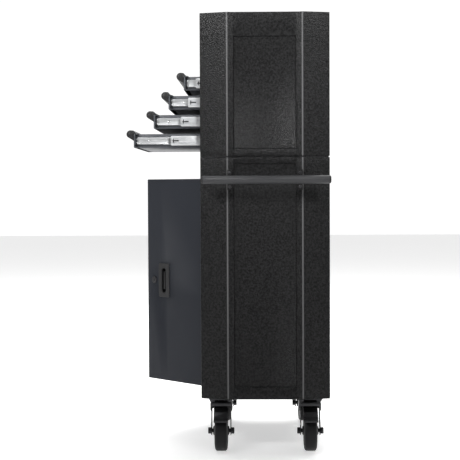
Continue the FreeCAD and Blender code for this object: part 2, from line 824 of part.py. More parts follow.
def build_grip(name, edge, high):
    """Full-width bar on a saddle that hooks over the drawer front."""
    wide = (-edge, edge)
    nose = (-edge, front - grip_ahead, high - grip_below_edge)
    face = (front - grip_saddle, front)
    hook = (front - grip_saddle, front + grip_top_leg)
    bulb = cylinder(name + "_bulb", nose, "x", 2 * edge, grip_radius)
    front_leg = box(name + "_front_leg", wide, face, (high - grip_front_leg, high + grip_saddle))
    top_leg = box(name + "_top_leg", wide, hook, (high, high + grip_saddle))
    behind = box(name + "_behind", wide, (front, front + grip_radius), (high - 2 * grip_radius, high))
    return cut(name + "_grip", fused(name + "_bar", bulb, front_leg, top_leg), behind)


# --------------------------------------------------------------------------- push bar
def build_push_bar():
    start = front + bar_front_end
    length = back - start
    tube = cylinder("push_bar_outside", (bar_x, start, bar_z), "y", length, bar_radius)
    bore = cylinder("push_bar_bore", (bar_x, start, bar_z), "y", length, bar_radius - bar_wall)
    piece("push_bar", cut("push_bar_tube", tube, bore))
    feet = []
    for end, sign in (("front", -1), ("rear", 1)):
        name = f"push_bar_bracket_{end}"
        outline = [
            (half_width, bend * sign),
            (flat_x, band_edge * sign),
            (half_width + bar_foot_thickness, band_edge * sign),
            (half_width + bar_foot_thickness, bend * sign),
        ]
        foot = prism(name + "_foot", "XY", outline, *about(bar_z, bar_foot_tall))
        post_y = (bend + band_edge) * sign / 2
        post = cylinder(name + "_post", (half_width, post_y, bar_z), "x", bar_standoff, bar_post_radius)
        room = cylinder(name + "_room", (bar_x, start, bar_z), "y", length, bar_radius)
        feet.append(cut(name, fused(name + "_solid", foot, post), room))
    piece("push_bar_brackets", *feet)


# --------------------------------------------------------------------------- casters
def build_caster_plates():
    plates = []
    for end, (x, y) in zip(("front", "rear"), caster_places(1)):
        name = f"caster_plate_{end}"
        plate = drilled_plate(name, x, y)
        race = cylinder(name + "_race", (x, y, race_z), "z", raceway_tall, raceway_radius)
        pin_low = race_z - swivel_gap - yoke_thickness - swivel_gap - king_pin_head
        pin = cylinder(name + "_pin", (x, y, pin_low), "z", race_z - pin_low, king_pin_radius)
        head = cylinder(name + "_pin_head", (x, y, pin_low), "z", king_pin_head, king_pin_head_radius)
        plates.append(fused(name, plate, race, pin, head))
    piece("caster_swivel_plates", *plates)


def drilled_plate(name, x, y):
    thick = (caster_plate_low, floor_z)
    plate = box(name + "_sheet", about(x, caster_plate_long), about(y, caster_plate_wide), thick)
    radius = bolt_radius + bolt_hole_clearance
    holes = []
    for number, (u, v) in enumerate(bolt_pattern(x, y)):
        start = (u, v, caster_plate_low)
        holes.append(cylinder(f"{name}_hole_{number}", start, "z", caster_plate_thickness, radius))
    return cut(name + "_drilled", plate, *holes)


def build_caster_bolts():
    """Hexagon bolts from below, with nuts on top of the cabinet's floor."""
    fasteners = []
    low = caster_plate_low
    deck_top = floor_z + deck_plate
    length = deck_top + bolt_nut - low
    for number, (x, y) in enumerate(bolt_places()):
        head = hexagon(f"bolt_head_{number}", (x, y, low - bolt_head), "z", bolt_head, bolt_hex_radius)
        shank = cylinder(f"bolt_shank_{number}", (x, y, low), "z", length, bolt_radius)
        nut = hexagon(f"bolt_nut_blank_{number}", (x, y, deck_top), "z", bolt_nut, bolt_hex_radius)
        bore = cylinder(f"bolt_nut_bore_{number}", (x, y, deck_top), "z", bolt_nut, bolt_radius)
        fasteners.append(fused(f"bolt_{number}", head, shank))
        fasteners.append(cut(f"nut_{number}", nut, bore))
    piece("caster_bolts", *fasteners)


def leg_pair(name, x, y, outline):
    """The two side plates that carry an axle."""
    moved = [(x + u, v) for u, v in outline]
    outside = fork_width / 2
    return [
        prism(f"{name}_leg_a", "XZ", moved, y - outside, y - outside + fork_plate),
        prism(f"{name}_leg_b", "XZ", moved, y + outside - fork_plate, y + outside),
    ]


def toe(trail, z):
    """Lower end of a leg round its axle hole."""
    return [
        (trail - fork_toe, z),
        (trail - fork_toe / 2, z - fork_toe),
        (trail + fork_toe / 2, z - fork_toe),
        (trail + fork_toe, z),
    ]


def axle_bolt(name, x, y, z):
    """Bolt across the fork, with a hexagon at each end."""
    half = fork_width / 2
    length = fork_width + 2 * axle_head
    shank = cylinder(name + "_shank", (x, y - half - axle_head, z), "y", length, axle_radius)
    head = hexagon(name + "_head", (x, y - half - axle_head, z), "y", axle_head, axle_hex_radius)
    nut = hexagon(name + "_nut", (x, y + half, z), "y", axle_head, axle_hex_radius)
    return fused(name, shank, head, nut)


def build_wheel(name, x, y):
    half_tread = tread_width / 2
    half_body = wheel_body_width / 2
    half_hub = wheel_hub_width / 2
    bore = axle_radius + running
    rim = wheel_radius - tread_depth
    shoulder = wheel_radius - tread_shoulder
    side = [
        (half_hub, bore),
        (half_hub, wheel_hub_radius),
        (half_body, wheel_hub_radius + tread_shoulder),
        (half_tread + tread_shoulder, rim),
        (half_tread, shoulder),
        (half_tread - tread_shoulder, wheel_radius),
    ]
    outline = side + [(-u, v) for u, v in reversed(side)]
    piece(name, revolved(name + "_turned", outline), x=x, y=y, z=wheel_radius)


def build_swivel_caster(end, x, y):
    """Fork, axle, wheel and brake pedal, drawn about the swivel axis."""
    name = f"caster_{end}"
    yoke_high = race_z - swivel_gap
    yoke_low = yoke_high - yoke_thickness
    half = fork_width / 2
    outline = [(-fork_rear, yoke_high), (-fork_rear, yoke_low - fork_toe)]
    outline += toe(caster_trail, wheel_radius)
    outline += [(fork_front, yoke_low - fork_toe), (fork_front, yoke_high)]
    yoke = box(name + "_yoke", (-fork_rear, fork_front), (-half, half), (yoke_low, yoke_high))
    legs = leg_pair(name, 0, 0, outline)
    swivel_bore = king_pin_radius + running
    swivel = cylinder(name + "_swivel_hole", (0, 0, yoke_low), "z", yoke_thickness, swivel_bore)
    axle_start = (caster_trail, -half, wheel_radius)
    across = cylinder(name + "_axle_hole", axle_start, "y", fork_width, axle_radius)
    middle = wheel_radius + pedal_gap + pedal_plate / 2
    pin_x, pin_z = polar(caster_trail, wheel_radius, middle, pedal_high_angle)
    pin_start = (pin_x, -half, pin_z)
    hinge = cylinder(name + "_pedal_hole", pin_start, "y", fork_width, pedal_pin_radius + running)
    fork = fused(name + "_fork_solid", yoke, *legs)
    piece(f"{name}_fork", cut(name + "_fork_drilled", fork, swivel, across, hinge), x=x, y=y)
    piece(f"{name}_axle", axle_bolt(name + "_axle_bolt", caster_trail, 0, wheel_radius), x=x, y=y)
    build_wheel(f"{name}_wheel", x + caster_trail, y)

    inner = wheel_radius + pedal_gap
    outer = inner + pedal_plate
    steps = 6
    angles = [
        pedal_low_angle + (pedal_high_angle - pedal_low_angle) * step / steps
        for step in range(steps + 1)
    ]
    arc = [polar(caster_trail, wheel_radius, outer, angle) for angle in angles]
    arc += [polar(caster_trail, wheel_radius, inner, angle) for angle in reversed(angles)]
    plate = prism(name + "_pedal_plate", "XZ", arc, *about(size(0), pedal_width))
    pin = cylinder(name + "_pedal_pin", pin_start, "y", fork_width, pedal_pin_radius)
    tab_x = caster_trail + inner * cosine(pedal_low_angle)
    tab_z = wheel_radius + outer * sine(pedal_low_angle)
    tab_tall = (tab_z, tab_z + pedal_plate)
    tab = box(name + "_pedal_tab", (tab_x, tab_x + pedal_tab), about(size(0), pedal_width), tab_tall)
    piece(f"{name}_brake_pedal", fused(name + "_pedal", plate, pin, tab), x=x, y=y)


def build_fixed_casters():
    brackets = []
    axles = []
    low = caster_plate_low
    for end, (x, y) in zip(("front", "rear"), caster_places(-1)):
        name = f"fixed_caster_{end}"
        outline = [(-fixed_leg_top, low)] + toe(size(0), wheel_radius) + [(fixed_leg_top, low)]
        legs = leg_pair(name, x, y, outline)
        start = (x, y - fork_width / 2, wheel_radius)
        hole = cylinder(name + "_axle_hole", start, "y", fork_width, axle_radius)
        plate = drilled_plate(name, x, y)
        brackets.append(cut(name + "_bracket", fused(name + "_solid", plate, *legs), hole))
        axles.append(axle_bolt(name + "_axle", x, y, wheel_radius))
        build_wheel(f"{name}_wheel", x, y)
    piece("fixed_caster_brackets", *brackets)
    piece("fixed_caster_axles", *axles)


# --------------------------------------------------------------------------- assembly
build_cabinet()
build_pivot_pins()
build_door("right", 1, door_right_angle)
build_door("left", -1, door_left_angle)
build_push_bar()
build_chest()
build_lid()
piece("chest_lock_case", lock_case("chest_lock_case", 0, front, chest_lock_z))
piece("chest_lock_cylinder", lock_plug("chest_lock", size(0), front, chest_lock_z, 1))
build_drawers()
build_caster_plates()
build_caster_bolts()
for caster_end, (caster_x, caster_y) in zip(("front", "rear"), caster_places(1)):
    build_swivel_caster(caster_end, caster_x, caster_y)
build_fixed_casters()
doc.recompute()

# --------------------------------------------------------------------------- checks and files
for obj in doc.Objects:
    if "Invalid" in obj.State or "Error" in obj.State:
        raise RuntimeError(f"{obj.Label} did not compute: {obj.State}")
for name, group, count in pieces:
    if group.Shape.isNull() or not group.Shape.isValid():
        raise RuntimeError(f"{name} has no valid shape")
    if len(group.Shape.Solids) != count:
        raise RuntimeError(f"{name} has {len(group.Shape.Solids)} solids, not {count}")

os.makedirs("parts", exist_ok=True)
whole = FreeCAD.BoundBox()
for name, group, count in pieces:
    group.Shape.exportStep(f"parts/{name}.step")
    whole.add(group.Shape.BoundBox)
print(f"{len(pieces)} pieces, box {whole}")
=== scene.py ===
"""Looks of the rolling tool chest: finishes, sheet metal, slides, grips, casters, studio and camera."""
import json
import math

import bmesh
import bpy
from mathutils import Matrix, Vector


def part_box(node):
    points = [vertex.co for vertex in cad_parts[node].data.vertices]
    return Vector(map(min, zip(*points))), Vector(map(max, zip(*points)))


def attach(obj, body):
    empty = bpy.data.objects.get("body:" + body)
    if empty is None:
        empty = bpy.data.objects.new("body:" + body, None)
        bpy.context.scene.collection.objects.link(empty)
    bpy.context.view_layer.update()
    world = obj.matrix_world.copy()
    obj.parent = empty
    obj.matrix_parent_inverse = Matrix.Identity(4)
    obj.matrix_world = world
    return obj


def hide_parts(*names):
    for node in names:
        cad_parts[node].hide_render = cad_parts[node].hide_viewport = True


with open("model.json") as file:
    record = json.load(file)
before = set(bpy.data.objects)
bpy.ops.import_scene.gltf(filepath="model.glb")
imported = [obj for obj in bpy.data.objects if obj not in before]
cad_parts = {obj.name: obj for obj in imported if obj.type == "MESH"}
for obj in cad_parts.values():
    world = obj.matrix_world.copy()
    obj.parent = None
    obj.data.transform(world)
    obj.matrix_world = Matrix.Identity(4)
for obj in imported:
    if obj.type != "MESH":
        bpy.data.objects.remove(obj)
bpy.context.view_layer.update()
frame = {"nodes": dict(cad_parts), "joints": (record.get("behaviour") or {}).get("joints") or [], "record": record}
JOINTS = {joint["name"]: joint for joint in frame["joints"]}
NODES = frame["nodes"]
BODY_OF = {
    node: body
    for body, members in frame["record"]["behaviour"]["bodies"].items()
    for node in members
}
MM = 0.001

# sizes that the looks repeat from the sheet metal, in metres
SKIN = 1.2 * MM
SIDE_FLAT = 184 * MM
BAND = 12 * MM
BAND_DROP = 3.5 * MM
RECESS = 154 * MM
FRONT_CHAMFER = 24 * MM
REAR_CHAMFER = 18 * MM
FRONT_RETURN = 12 * MM
CORNER_RADIUS = 2.5 * MM
BEND_RADIUS = 6 * MM
EDGE_RADIUS = 1.5 * MM

# sizes that only the looks have
RECESS_DEPTH = 4 * MM
RECESS_SLOPE = 2 * MM
# half width of each painted highlight down a side panel's proud bend
BEND_HIGHLIGHT_HALF_WIDTH = 2.6 * MM


# --------------------------------------------------------------------------- meshes
def face_outward(bm, insides):
    """Turn each open sheet's normals away from the nearest of the points inside."""
    bm.normal_update()
    seen = set()
    for first in bm.faces:
        if first in seen:
            continue
        seen.add(first)
        island = [first]
        for face in island:
            for edge in face.edges:
                for other in edge.link_faces:
                    if other not in seen:
                        seen.add(other)
                        island.append(other)
        centre = sum((face.calc_center_median() for face in island), Vector()) / len(island)
        inside = min((Vector(point) for point in insides), key=lambda point: (point - centre).length)
        score = 0.0
        for face in island:
            score += face.calc_area() * face.normal.dot(face.calc_center_median() - inside)
        if score < 0:
            bmesh.ops.reverse_faces(bm, faces=island)


def add_mesh(name, bm, material, body, replaced=(), smooth_angle=35, insides=()):
    """Turn a bmesh into a piece that rides on a body."""
    bmesh.ops.remove_doubles(bm, verts=bm.verts, dist=1e-6)
    bmesh.ops.recalc_face_normals(bm, faces=bm.faces)
    if insides:
        face_outward(bm, insides)
    mesh = bpy.data.meshes.new(name)
    bm.to_mesh(mesh)
    bm.free()
    mesh.materials.append(material)
    mesh.shade_smooth()
    mesh.set_sharp_from_angle(angle=math.radians(smooth_angle))
    piece = bpy.data.objects.new(name, mesh)
    bpy.context.scene.collection.objects.link(piece)
    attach(piece, body)
    if replaced:
        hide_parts(*replaced)
    return piece


def modifier(piece, kind, name, **settings):
    made = piece.modifiers.new(name, kind)
    for key, value in settings.items():
        setattr(made, key, value)
    return made


def thicken(piece, thickness=SKIN):
    modifier(piece, "SOLIDIFY", "sheet", thickness=thickness, offset=-1, use_even_offset=True)


def soften(piece, width, segments=2, angle=40):
    modifier(
        piece, "BEVEL", "soft_edges", width=width, segments=segments, limit_method="ANGLE",
        angle_limit=math.radians(angle), harden_normals=False,
    )


def block(bm, low, high, bevel=0.0, segments=2):
    """Add a box with rounded edges to a bmesh."""
    made = bmesh.ops.create_cube(bm, size=1)
    centre = (Vector(low) + Vector(high)) / 2
    extent = Vector(high) - Vector(low)
    matrix = Matrix.Translation(centre) @ Matrix.Diagonal((*extent, 1))
    bmesh.ops.transform(bm, matrix=matrix, verts=made["verts"])
    if bevel:
        edges = {edge for vert in made["verts"] for edge in vert.link_edges}
        bmesh.ops.bevel(bm, geom=list(edges), offset=bevel, segments=segments, affect="EDGES", profile=0.5)


AXES = {
    "x": Matrix(((0, 0, 1, 0), (1, 0, 0, 0), (0, 1, 0, 0), (0, 0, 0, 1))),
    "y": Matrix(((0, 1, 0, 0), (0, 0, 1, 0), (1, 0, 0, 0), (0, 0, 0, 1))),
    "z": Matrix.Identity(4),
}


def lathe(bm, profile, centre, axis, steps=48):
    """Turn (distance along the axis, radius) points about an axis through the centre."""
    matrix = Matrix.Translation(Vector(centre)) @ AXES[axis]
    rings = []
    for along, radius in profile:
        if radius < 1e-7:
            rings.append([bm.verts.new(matrix @ Vector((0, 0, along)))])
            continue
        ring = []
        for step in range(steps):
            turn = 2 * math.pi * step / steps
            point = Vector((radius * math.cos(turn), radius * math.sin(turn), along))
            ring.append(bm.verts.new(matrix @ point))
        rings.append(ring)
    for low, high in zip(rings, rings[1:]):
        for step in range(steps):
            other = (step + 1) % steps
            if len(low) == 1:
                bm.faces.new((low[0], high[step], high[other]))
            elif len(high) == 1:
                bm.faces.new((low[step], low[other], high[0]))
            else:
                bm.faces.new((low[step], low[other], high[other], high[step]))


def arc_points(centre, radius, start, end, steps):
    """Points round an arc in a plane, angles in degrees."""
    points = []
    for step in range(steps + 1):
        turn = math.radians(start + (end - start) * step / steps)
        points.append((centre[0] + radius * math.cos(turn), centre[1] + radius * math.sin(turn)))
    return points


def rounded_line(points, radii, steps=5):
    """An open polyline with each inner corner turned into an arc of its radius."""
    line = [Vector(points[0])]
    for before, corner, after, radius in zip(points, points[1:], points[2:], radii):
        corner = Vector(corner)
        back = (Vector(before) - corner).normalized()
        ahead = (Vector(after) - corner).normalized()
        half = back.angle(ahead) / 2
        reach = radius / math.tan(half)
        start = corner + back * reach
        end = corner + ahead * reach
        for step in range(steps + 1):
            part = step / steps
            line.append(start * (1 - part) ** 2 + corner * 2 * part * (1 - part) + end * part ** 2)
    line.append(Vector(points[-1]))
    return line


def ramp(value, low, high):
    part = min(1.0, max(0.0, (value - low) / (high - low)))
    return part * part * (3 - 2 * part)


# --------------------------------------------------------------------------- materials
def shader(name):
    material = bpy.data.materials.new(name)
    material.use_nodes = True
    tree = material.node_tree
    return material, tree, tree.nodes["Principled BSDF"]


def link(tree, start, end):
    tree.links.new(start, end)


def object_coordinates(tree, stretch=(1, 1, 1)):
    source = tree.nodes.new("ShaderNodeTexCoord")
    mapping = tree.nodes.new("ShaderNodeMapping")
    mapping.inputs["Scale"].default_value = stretch
    link(tree, source.outputs["Object"], mapping.inputs["Vector"])
    return mapping.outputs["Vector"]


def noise(tree, vector, size, detail=3.0, roughness=0.5):
    made = tree.nodes.new("ShaderNodeTexNoise")
    made.inputs["Scale"].default_value = 1 / size
    made.inputs["Detail"].default_value = detail
    made.inputs["Roughness"].default_value = roughness
    link(tree, vector, made.inputs["Vector"])
    return made.outputs["Fac"]


def spots(tree, vector, size):
    made = tree.nodes.new("ShaderNodeTexVoronoi")
    made.feature = "SMOOTH_F1"
    made.inputs["Scale"].default_value = 1 / size
    link(tree, vector, made.inputs["Vector"])
    return made.outputs["Distance"]


def spread(tree, value, low, high, low_to, high_to):
    """Map a value's range on to another."""
    made = tree.nodes.new("ShaderNodeMapRange")
    for key, number in (("From Min", low), ("From Max", high), ("To Min", low_to), ("To Max", high_to)):
        made.inputs[key].default_value = number
    link(tree, value, made.inputs["Value"])
    return made.outputs["Result"]


def tint(tree, value, dark, light):
    made = tree.nodes.new("ShaderNodeMix")
    made.data_type = "RGBA"
    made.inputs["A"].default_value = (*dark, 1)
    made.inputs["B"].default_value = (*light, 1)
    link(tree, value, made.inputs["Factor"])
    return made.outputs["Result"]


def added(tree, first, second, weight):
    made = tree.nodes.new("ShaderNodeMath")
    made.operation = "MULTIPLY_ADD"
    made.inputs[1].default_value = weight
    link(tree, second, made.inputs[0])
    link(tree, first, made.inputs[2])
    return made.outputs["Value"]


def bump(tree, height, strength, distance, onto):
    made = tree.nodes.new("ShaderNodeBump")
    made.inputs["Strength"].default_value = strength
    made.inputs["Distance"].default_value = distance
    link(tree, height, made.inputs["Height"])
    link(tree, made.outputs["Normal"], onto.inputs["Normal"])


def worn(tree, colour, edge_colour):
    """Rub the finish a little lighter along sharp outer edges."""
    geometry = tree.nodes.new("ShaderNodeNewGeometry")
    mask = spread(tree, geometry.outputs["Pointiness"], 0.54, 0.62, 0.0, 0.5)
    made = tree.nodes.new("ShaderNodeMix")
    made.data_type = "RGBA"
    made.inputs["B"].default_value = (*edge_colour, 1)
    link(tree, mask, made.inputs["Factor"])
    link(tree, colour, made.inputs["A"])
    return made.outputs["Result"]


def painted_bend_highlights(tree, vector, colour):
    """Painted highlights: lighter colour down the two bends that stand proudest on a side panel, standing in for
    the lamps' highlights on them.
    """
    parts = tree.nodes.new("ShaderNodeSeparateXYZ")
    link(tree, vector, parts.inputs["Vector"])
    for place in (CENTRE_Y - SIDE_FLAT / 2, CENTRE_Y + SIDE_FLAT / 2):
        before = spread(tree, parts.outputs["Y"], place - BEND_HIGHLIGHT_HALF_WIDTH, place - BEND_HIGHLIGHT_HALF_WIDTH / 3, 0, 1)
        after = spread(tree, parts.outputs["Y"], place + BEND_HIGHLIGHT_HALF_WIDTH / 3, place + BEND_HIGHLIGHT_HALF_WIDTH, 1, 0)
        both = tree.nodes.new("ShaderNodeMath")
        both.operation = "MULTIPLY"
        link(tree, before, both.inputs[0])
        link(tree, after, both.inputs[1])
        made = tree.nodes.new("ShaderNodeMix")
        made.data_type = "RGBA"
        # colour of the painted highlight, far lighter than the black coat
        made.inputs["B"].default_value = (0.11, 0.11, 0.112, 1)
        link(tree, both.outputs["Value"], made.inputs["Factor"])
        link(tree, colour, made.inputs["A"])
        colour = made.outputs["Result"]
    return colour


def textured_paint(name, dark, light, grain, depth, rough, painted_highlights=False):
    """Fine-wrinkle powder coat: rounded grains with pits between them."""
    material, tree, surface = shader(name)
    vector = object_coordinates(tree)
    grains = spots(tree, vector, grain)
    fine = noise(tree, vector, grain * 0.6, 2.0, 0.6)
    height = added(tree, grains, fine, 0.7)
    speckle = spread(tree, noise(tree, vector, 0.005, 2.0, 0.7), 0.35, 0.65, 0, 1)
    colour = tint(tree, speckle, dark, light)
    # painted highlights down the two proud bends of a side panel
    if painted_highlights:
        colour = painted_bend_highlights(tree, vector, colour)
    link(tree, worn(tree, colour, (0.10, 0.10, 0.105)), surface.inputs["Base Color"])
    link(tree, spread(tree, fine, 0.3, 0.7, rough - 0.08, rough + 0.1), surface.inputs["Roughness"])
    surface.inputs["Specular IOR Level"].default_value = 0.17
    bump(tree, height, 0.75, depth, surface)
    return material


def smooth_paint(name, dark, light, rough, gloss=0.5):
    """Flat powder coat with a trace of orange peel and large soft clouds."""
    material, tree, surface = shader(name)
    vector = object_coordinates(tree)
    peel = noise(tree, vector, 0.0025, 2.0, 0.5)
    clouds = noise(tree, vector, 0.09, 2.0, 0.5)
    colour = worn(tree, tint(tree, clouds, dark, light), (0.16, 0.165, 0.175))
    link(tree, colour, surface.inputs["Base Color"])
    link(tree, spread(tree, clouds, 0.3, 0.7, rough - 0.03, rough + 0.05), surface.inputs["Roughness"])
    surface.inputs["Specular IOR Level"].default_value = gloss
    bump(tree, peel, 0.12, 0.0003, surface)
    return material


def plated_steel(name, dark, light, rough, grain=(1, 0.03, 1), scratch=0.0012):
    """Zinc-plated or brushed steel, drawn out along one axis."""
    material, tree, surface = shader(name)
    vector = object_coordinates(tree, grain)
    brush = noise(tree, vector, scratch, 4.0, 0.6)
    clouds = noise(tree, object_coordinates(tree), 0.03, 3.0, 0.6)
    mixed = added(tree, brush, clouds, 0.6)
    link(tree, tint(tree, spread(tree, mixed, 0.5, 1.1, 0, 1), dark, light), surface.inputs["Base Color"])
    link(tree, spread(tree, mixed, 0.5, 1.1, rough - 0.08, rough + 0.1), surface.inputs["Roughness"])
    surface.inputs["Metallic"].default_value = 1.0
    bump(tree, brush, 0.08, 0.0002, surface)
    return material


def moulded_plastic(name, dark, light, rough, grain=0.0009):
    """Spark-eroded plastic: a fine even grain and soft wear."""
    material, tree, surface = shader(name)
    vector = object_coordinates(tree)
    fine = noise(tree, vector, grain, 2.0, 0.6)
    clouds = noise(tree, vector, 0.04, 2.0, 0.5)
    colour = worn(tree, tint(tree, clouds, dark, light), (0.09, 0.09, 0.095))
    link(tree, colour, surface.inputs["Base Color"])
    link(tree, spread(tree, fine, 0.3, 0.7, rough - 0.06, rough + 0.08), surface.inputs["Roughness"])
    surface.inputs["Specular IOR Level"].default_value = 0.3
    bump(tree, fine, 0.25, 0.0002, surface)
    return material


def tread_rubber(name):
    """Polyurethane tread, scuffed round its running face."""
    material, tree, surface = shader(name)
    vector = object_coordinates(tree)
    scuffs = noise(tree, vector, 0.006, 4.0, 0.65)
    fine = noise(tree, vector, 0.0012, 2.0, 0.5)
    colour = tint(tree, scuffs, (0.004, 0.004, 0.0045), (0.012, 0.012, 0.013))
    link(tree, colour, surface.inputs["Base Color"])
    link(tree, spread(tree, scuffs, 0.3, 0.7, 0.4, 0.6), surface.inputs["Roughness"])
    surface.inputs["Specular IOR Level"].default_value = 0.2
    bump(tree, fine, 0.2, 0.0002, surface)
    return material


def studio_floor(name):
    """Plain pale sweep with a faint glow, so that it stays white behind the chest."""
    material, tree, surface = shader(name)
    clouds = noise(tree, object_coordinates(tree), 2.0, 1.0, 0.5)
    link(tree, tint(tree, clouds, (0.86, 0.86, 0.86), (0.88, 0.88, 0.88)), surface.inputs["Base Color"])
    surface.inputs["Roughness"].default_value = 0.8
    surface.inputs["Specular IOR Level"].default_value = 0.2
    surface.inputs["Emission Color"].default_value = (1, 1, 1, 1)
    surface.inputs["Emission Strength"].default_value = 0.5
    return material


# --------------------------------------------------------------------------- places
side_low, side_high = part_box("cabinet_side_right")
left_low, left_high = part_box("cabinet_side_left")
CENTRE_X = (side_high.x + left_low.x) / 2
CENTRE_Y = (side_low.y + side_high.y) / 2
HALF_WIDTH = side_high.x - CENTRE_X
OPENING = side_low.x - CENTRE_X
DEEP = side_high.y - CENTRE_Y

WRINKLE = ((0.001, 0.001, 0.0011), (0.017, 0.017, 0.0175), 2.6 * MM, 1 * MM, 0.34)
BODY = textured_paint("black_wrinkle_coat", *WRINKLE)
# the same black wrinkle coat with painted highlights down the side panels' bends
SIDE = textured_paint("wrinkle_coat_painted_bend_highlights", *WRINKLE, painted_highlights=True)
DOOR = smooth_paint("charcoal_coat", (0.017, 0.019, 0.025), (0.020, 0.0225, 0.029), 0.6, 0.2)
DRAWER = smooth_paint("blue_grey_coat", (0.026, 0.029, 0.037), (0.036, 0.04, 0.049), 0.46)
ZINC = plated_steel("zinc_plate", (0.56, 0.57, 0.58), (0.80, 0.81, 0.82), 0.42)
DARK_STEEL = plated_steel(
    "black_plated_steel", (0.028, 0.028, 0.03), (0.07, 0.07, 0.073), 0.36, (1, 1, 1), 0.003,
)
NICKEL = plated_steel("satin_nickel", (0.40, 0.40, 0.41), (0.62, 0.62, 0.63), 0.24, (1, 1, 1), 0.002)
PLASTIC = moulded_plastic("black_plastic", (0.006, 0.006, 0.0065), (0.012, 0.012, 0.0125), 0.5)
GRIP = moulded_plastic("grey_grip", (0.034, 0.035, 0.038), (0.05, 0.052, 0.056), 0.4)
CORE = moulded_plastic("wheel_core", (0.014, 0.014, 0.015), (0.026, 0.026, 0.027), 0.4, 0.0015)
TREAD = tread_rubber("wheel_tread")
TUBE = smooth_paint("bar_coat", (0.008, 0.0075, 0.008), (0.013, 0.0125, 0.013), 0.46, 0.25)


def dress(node, material, bevel=0.0, segments=2):
    """Give a carried-over CAD node its finish, and round its edges."""
    piece = NODES[node]
    piece.data.materials.clear()
    piece.data.materials.append(material)
    if bevel:
        modifier(piece, "WELD", "weld", merge_threshold=1e-5)
        soften(piece, bevel, segments)
    return piece


# --------------------------------------------------------------------------- sheet metal
def side_profile():
    """The outside of a folded side panel as (x, y) from the chest's centre, with rounded bends."""
    bend = SIDE_FLAT / 2
    band_edge = bend - BAND
    flat_x = HALF_WIDTH - BAND_DROP
    corners = [
        (OPENING, FRONT_RETURN - DEEP),
        (OPENING, -DEEP),
        (HALF_WIDTH - FRONT_CHAMFER, -DEEP),
        (HALF_WIDTH, -bend),
        (flat_x, -band_edge),
        (flat_x, band_edge),
        (HALF_WIDTH, bend),
        (HALF_WIDTH - REAR_CHAMFER, DEEP),
        (OPENING, DEEP),
    ]
    radii = [EDGE_RADIUS, CORNER_RADIUS, BEND_RADIUS, BAND / 5, BAND / 5, BEND_RADIUS, CORNER_RADIUS]
    line = rounded_line(corners, radii)
    edge = RECESS / 2
    slope = RECESS_SLOPE
    extra = []
    for side in (-1, 1):
        for step in range(7):
            extra.append(Vector((flat_x, side * (edge - slope * step / 6))))
    flat_start = max(i for i, p in enumerate(line) if p.y < -edge - 1e-5)
    middle = sorted(extra, key=lambda p: p.y)
    return line[: flat_start + 1] + middle + line[flat_start + 1 :], edge, slope


def side_panel(node, sign, recess_low, recess_high, closed_low, closed_high):
    """Folded panel with rounded bends, a pressed recess, and flanges turned in at its ends."""
    low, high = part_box(node)
    line, edge, slope = side_profile()
    count = len(line)
    normals = []
    for i in range(count):
        along = (line[min(i + 1, count - 1)] - line[max(i - 1, 0)]).normalized()
        normals.append(Vector((along.y, -along.x)))
    turn_steps = 4
    inner = [recess_low + slope * step / 6 for step in range(7)]
    inner += [recess_high - slope * step / 6 for step in range(6, -1, -1)]
    rows = [(z, 0.0) for z in [low.z + EDGE_RADIUS] + inner + [high.z - EDGE_RADIUS]]
    for step in range(1, turn_steps + 1):
        turn = math.pi / 2 * step / turn_steps
        rows.append((high.z - EDGE_RADIUS * (1 - math.sin(turn)), EDGE_RADIUS * (1 - math.cos(turn))))
    start = []
    for step in range(turn_steps, 0, -1):
        turn = math.pi / 2 * step / turn_steps
        start.append((low.z + EDGE_RADIUS * (1 - math.sin(turn)), EDGE_RADIUS * (1 - math.cos(turn))))
    rows = start + rows
    bm = bmesh.new()
    grid = []
    for z, inset in rows:
        ring = []
        for point, normal in zip(line, normals):
            x, y = point - normal * inset
            if point.x > HALF_WIDTH - BAND_DROP - 1e-5 and abs(point.y) < edge + 1e-6:
                sunk = ramp(edge - abs(point.y), 0, slope) * ramp(z, recess_low, recess_low + slope)
                sunk *= ramp(-z, -recess_high, slope - recess_high)
                x -= RECESS_DEPTH * sunk
            ring.append(bm.verts.new((CENTRE_X + sign * x, CENTRE_Y + y, z)))
        grid.append(ring)
    for lower, upper in zip(grid, grid[1:]):
        for i in range(count - 1):
            bm.faces.new((lower[i], lower[i + 1], upper[i + 1], upper[i]))
    for ring, closed in ((grid[0], closed_low), (grid[-1], closed_high)):
        if closed:
            bm.faces.new(ring)
    bmesh.ops.remove_doubles(bm, verts=bm.verts, dist=1e-6)
    bmesh.ops.dissolve_degenerate(bm, edges=bm.edges, dist=1e-6)
    inside = (CENTRE_X + sign * (OPENING + EDGE_RADIUS), CENTRE_Y, (low.z + high.z) / 2)
    piece = add_mesh(f"{node}_folded", bm, SIDE, BODY_OF[node], [node], 60, [inside])
    modifier(piece, "SOLIDIFY", "sheet", thickness=SKIN, offset=-1)


def pan(name, low, high, open_side, radius, material, body, replaced=(), hole=None, place=None):
    """A pressed pan: a rounded sheet box with one side open, turned into place."""
    bm = bmesh.new()
    block(bm, low, high)
    axis, sign = open_side
    limit = (high if sign > 0 else low)[axis]
    for face in list(bm.faces):
        if all(abs(vert.co[axis] - limit) < 1e-6 for vert in face.verts):
            bmesh.ops.delete(bm, geom=[face], context="FACES_ONLY")
    bm.edges.ensure_lookup_table()
    rim = [edge for edge in bm.edges if not edge.is_boundary]
    bmesh.ops.bevel(bm, geom=rim, offset=radius, segments=4, affect="EDGES", profile=0.5)
    if hole:
        cut_hole(bm, *hole)
    inside = (Vector(low) + Vector(high)) / 2
    if place:
        bmesh.ops.transform(bm, matrix=place, verts=bm.verts)
        inside = place @ inside
    piece = add_mesh(name, bm, material, body, replaced, 50, [inside])
    thicken(piece)
    return piece


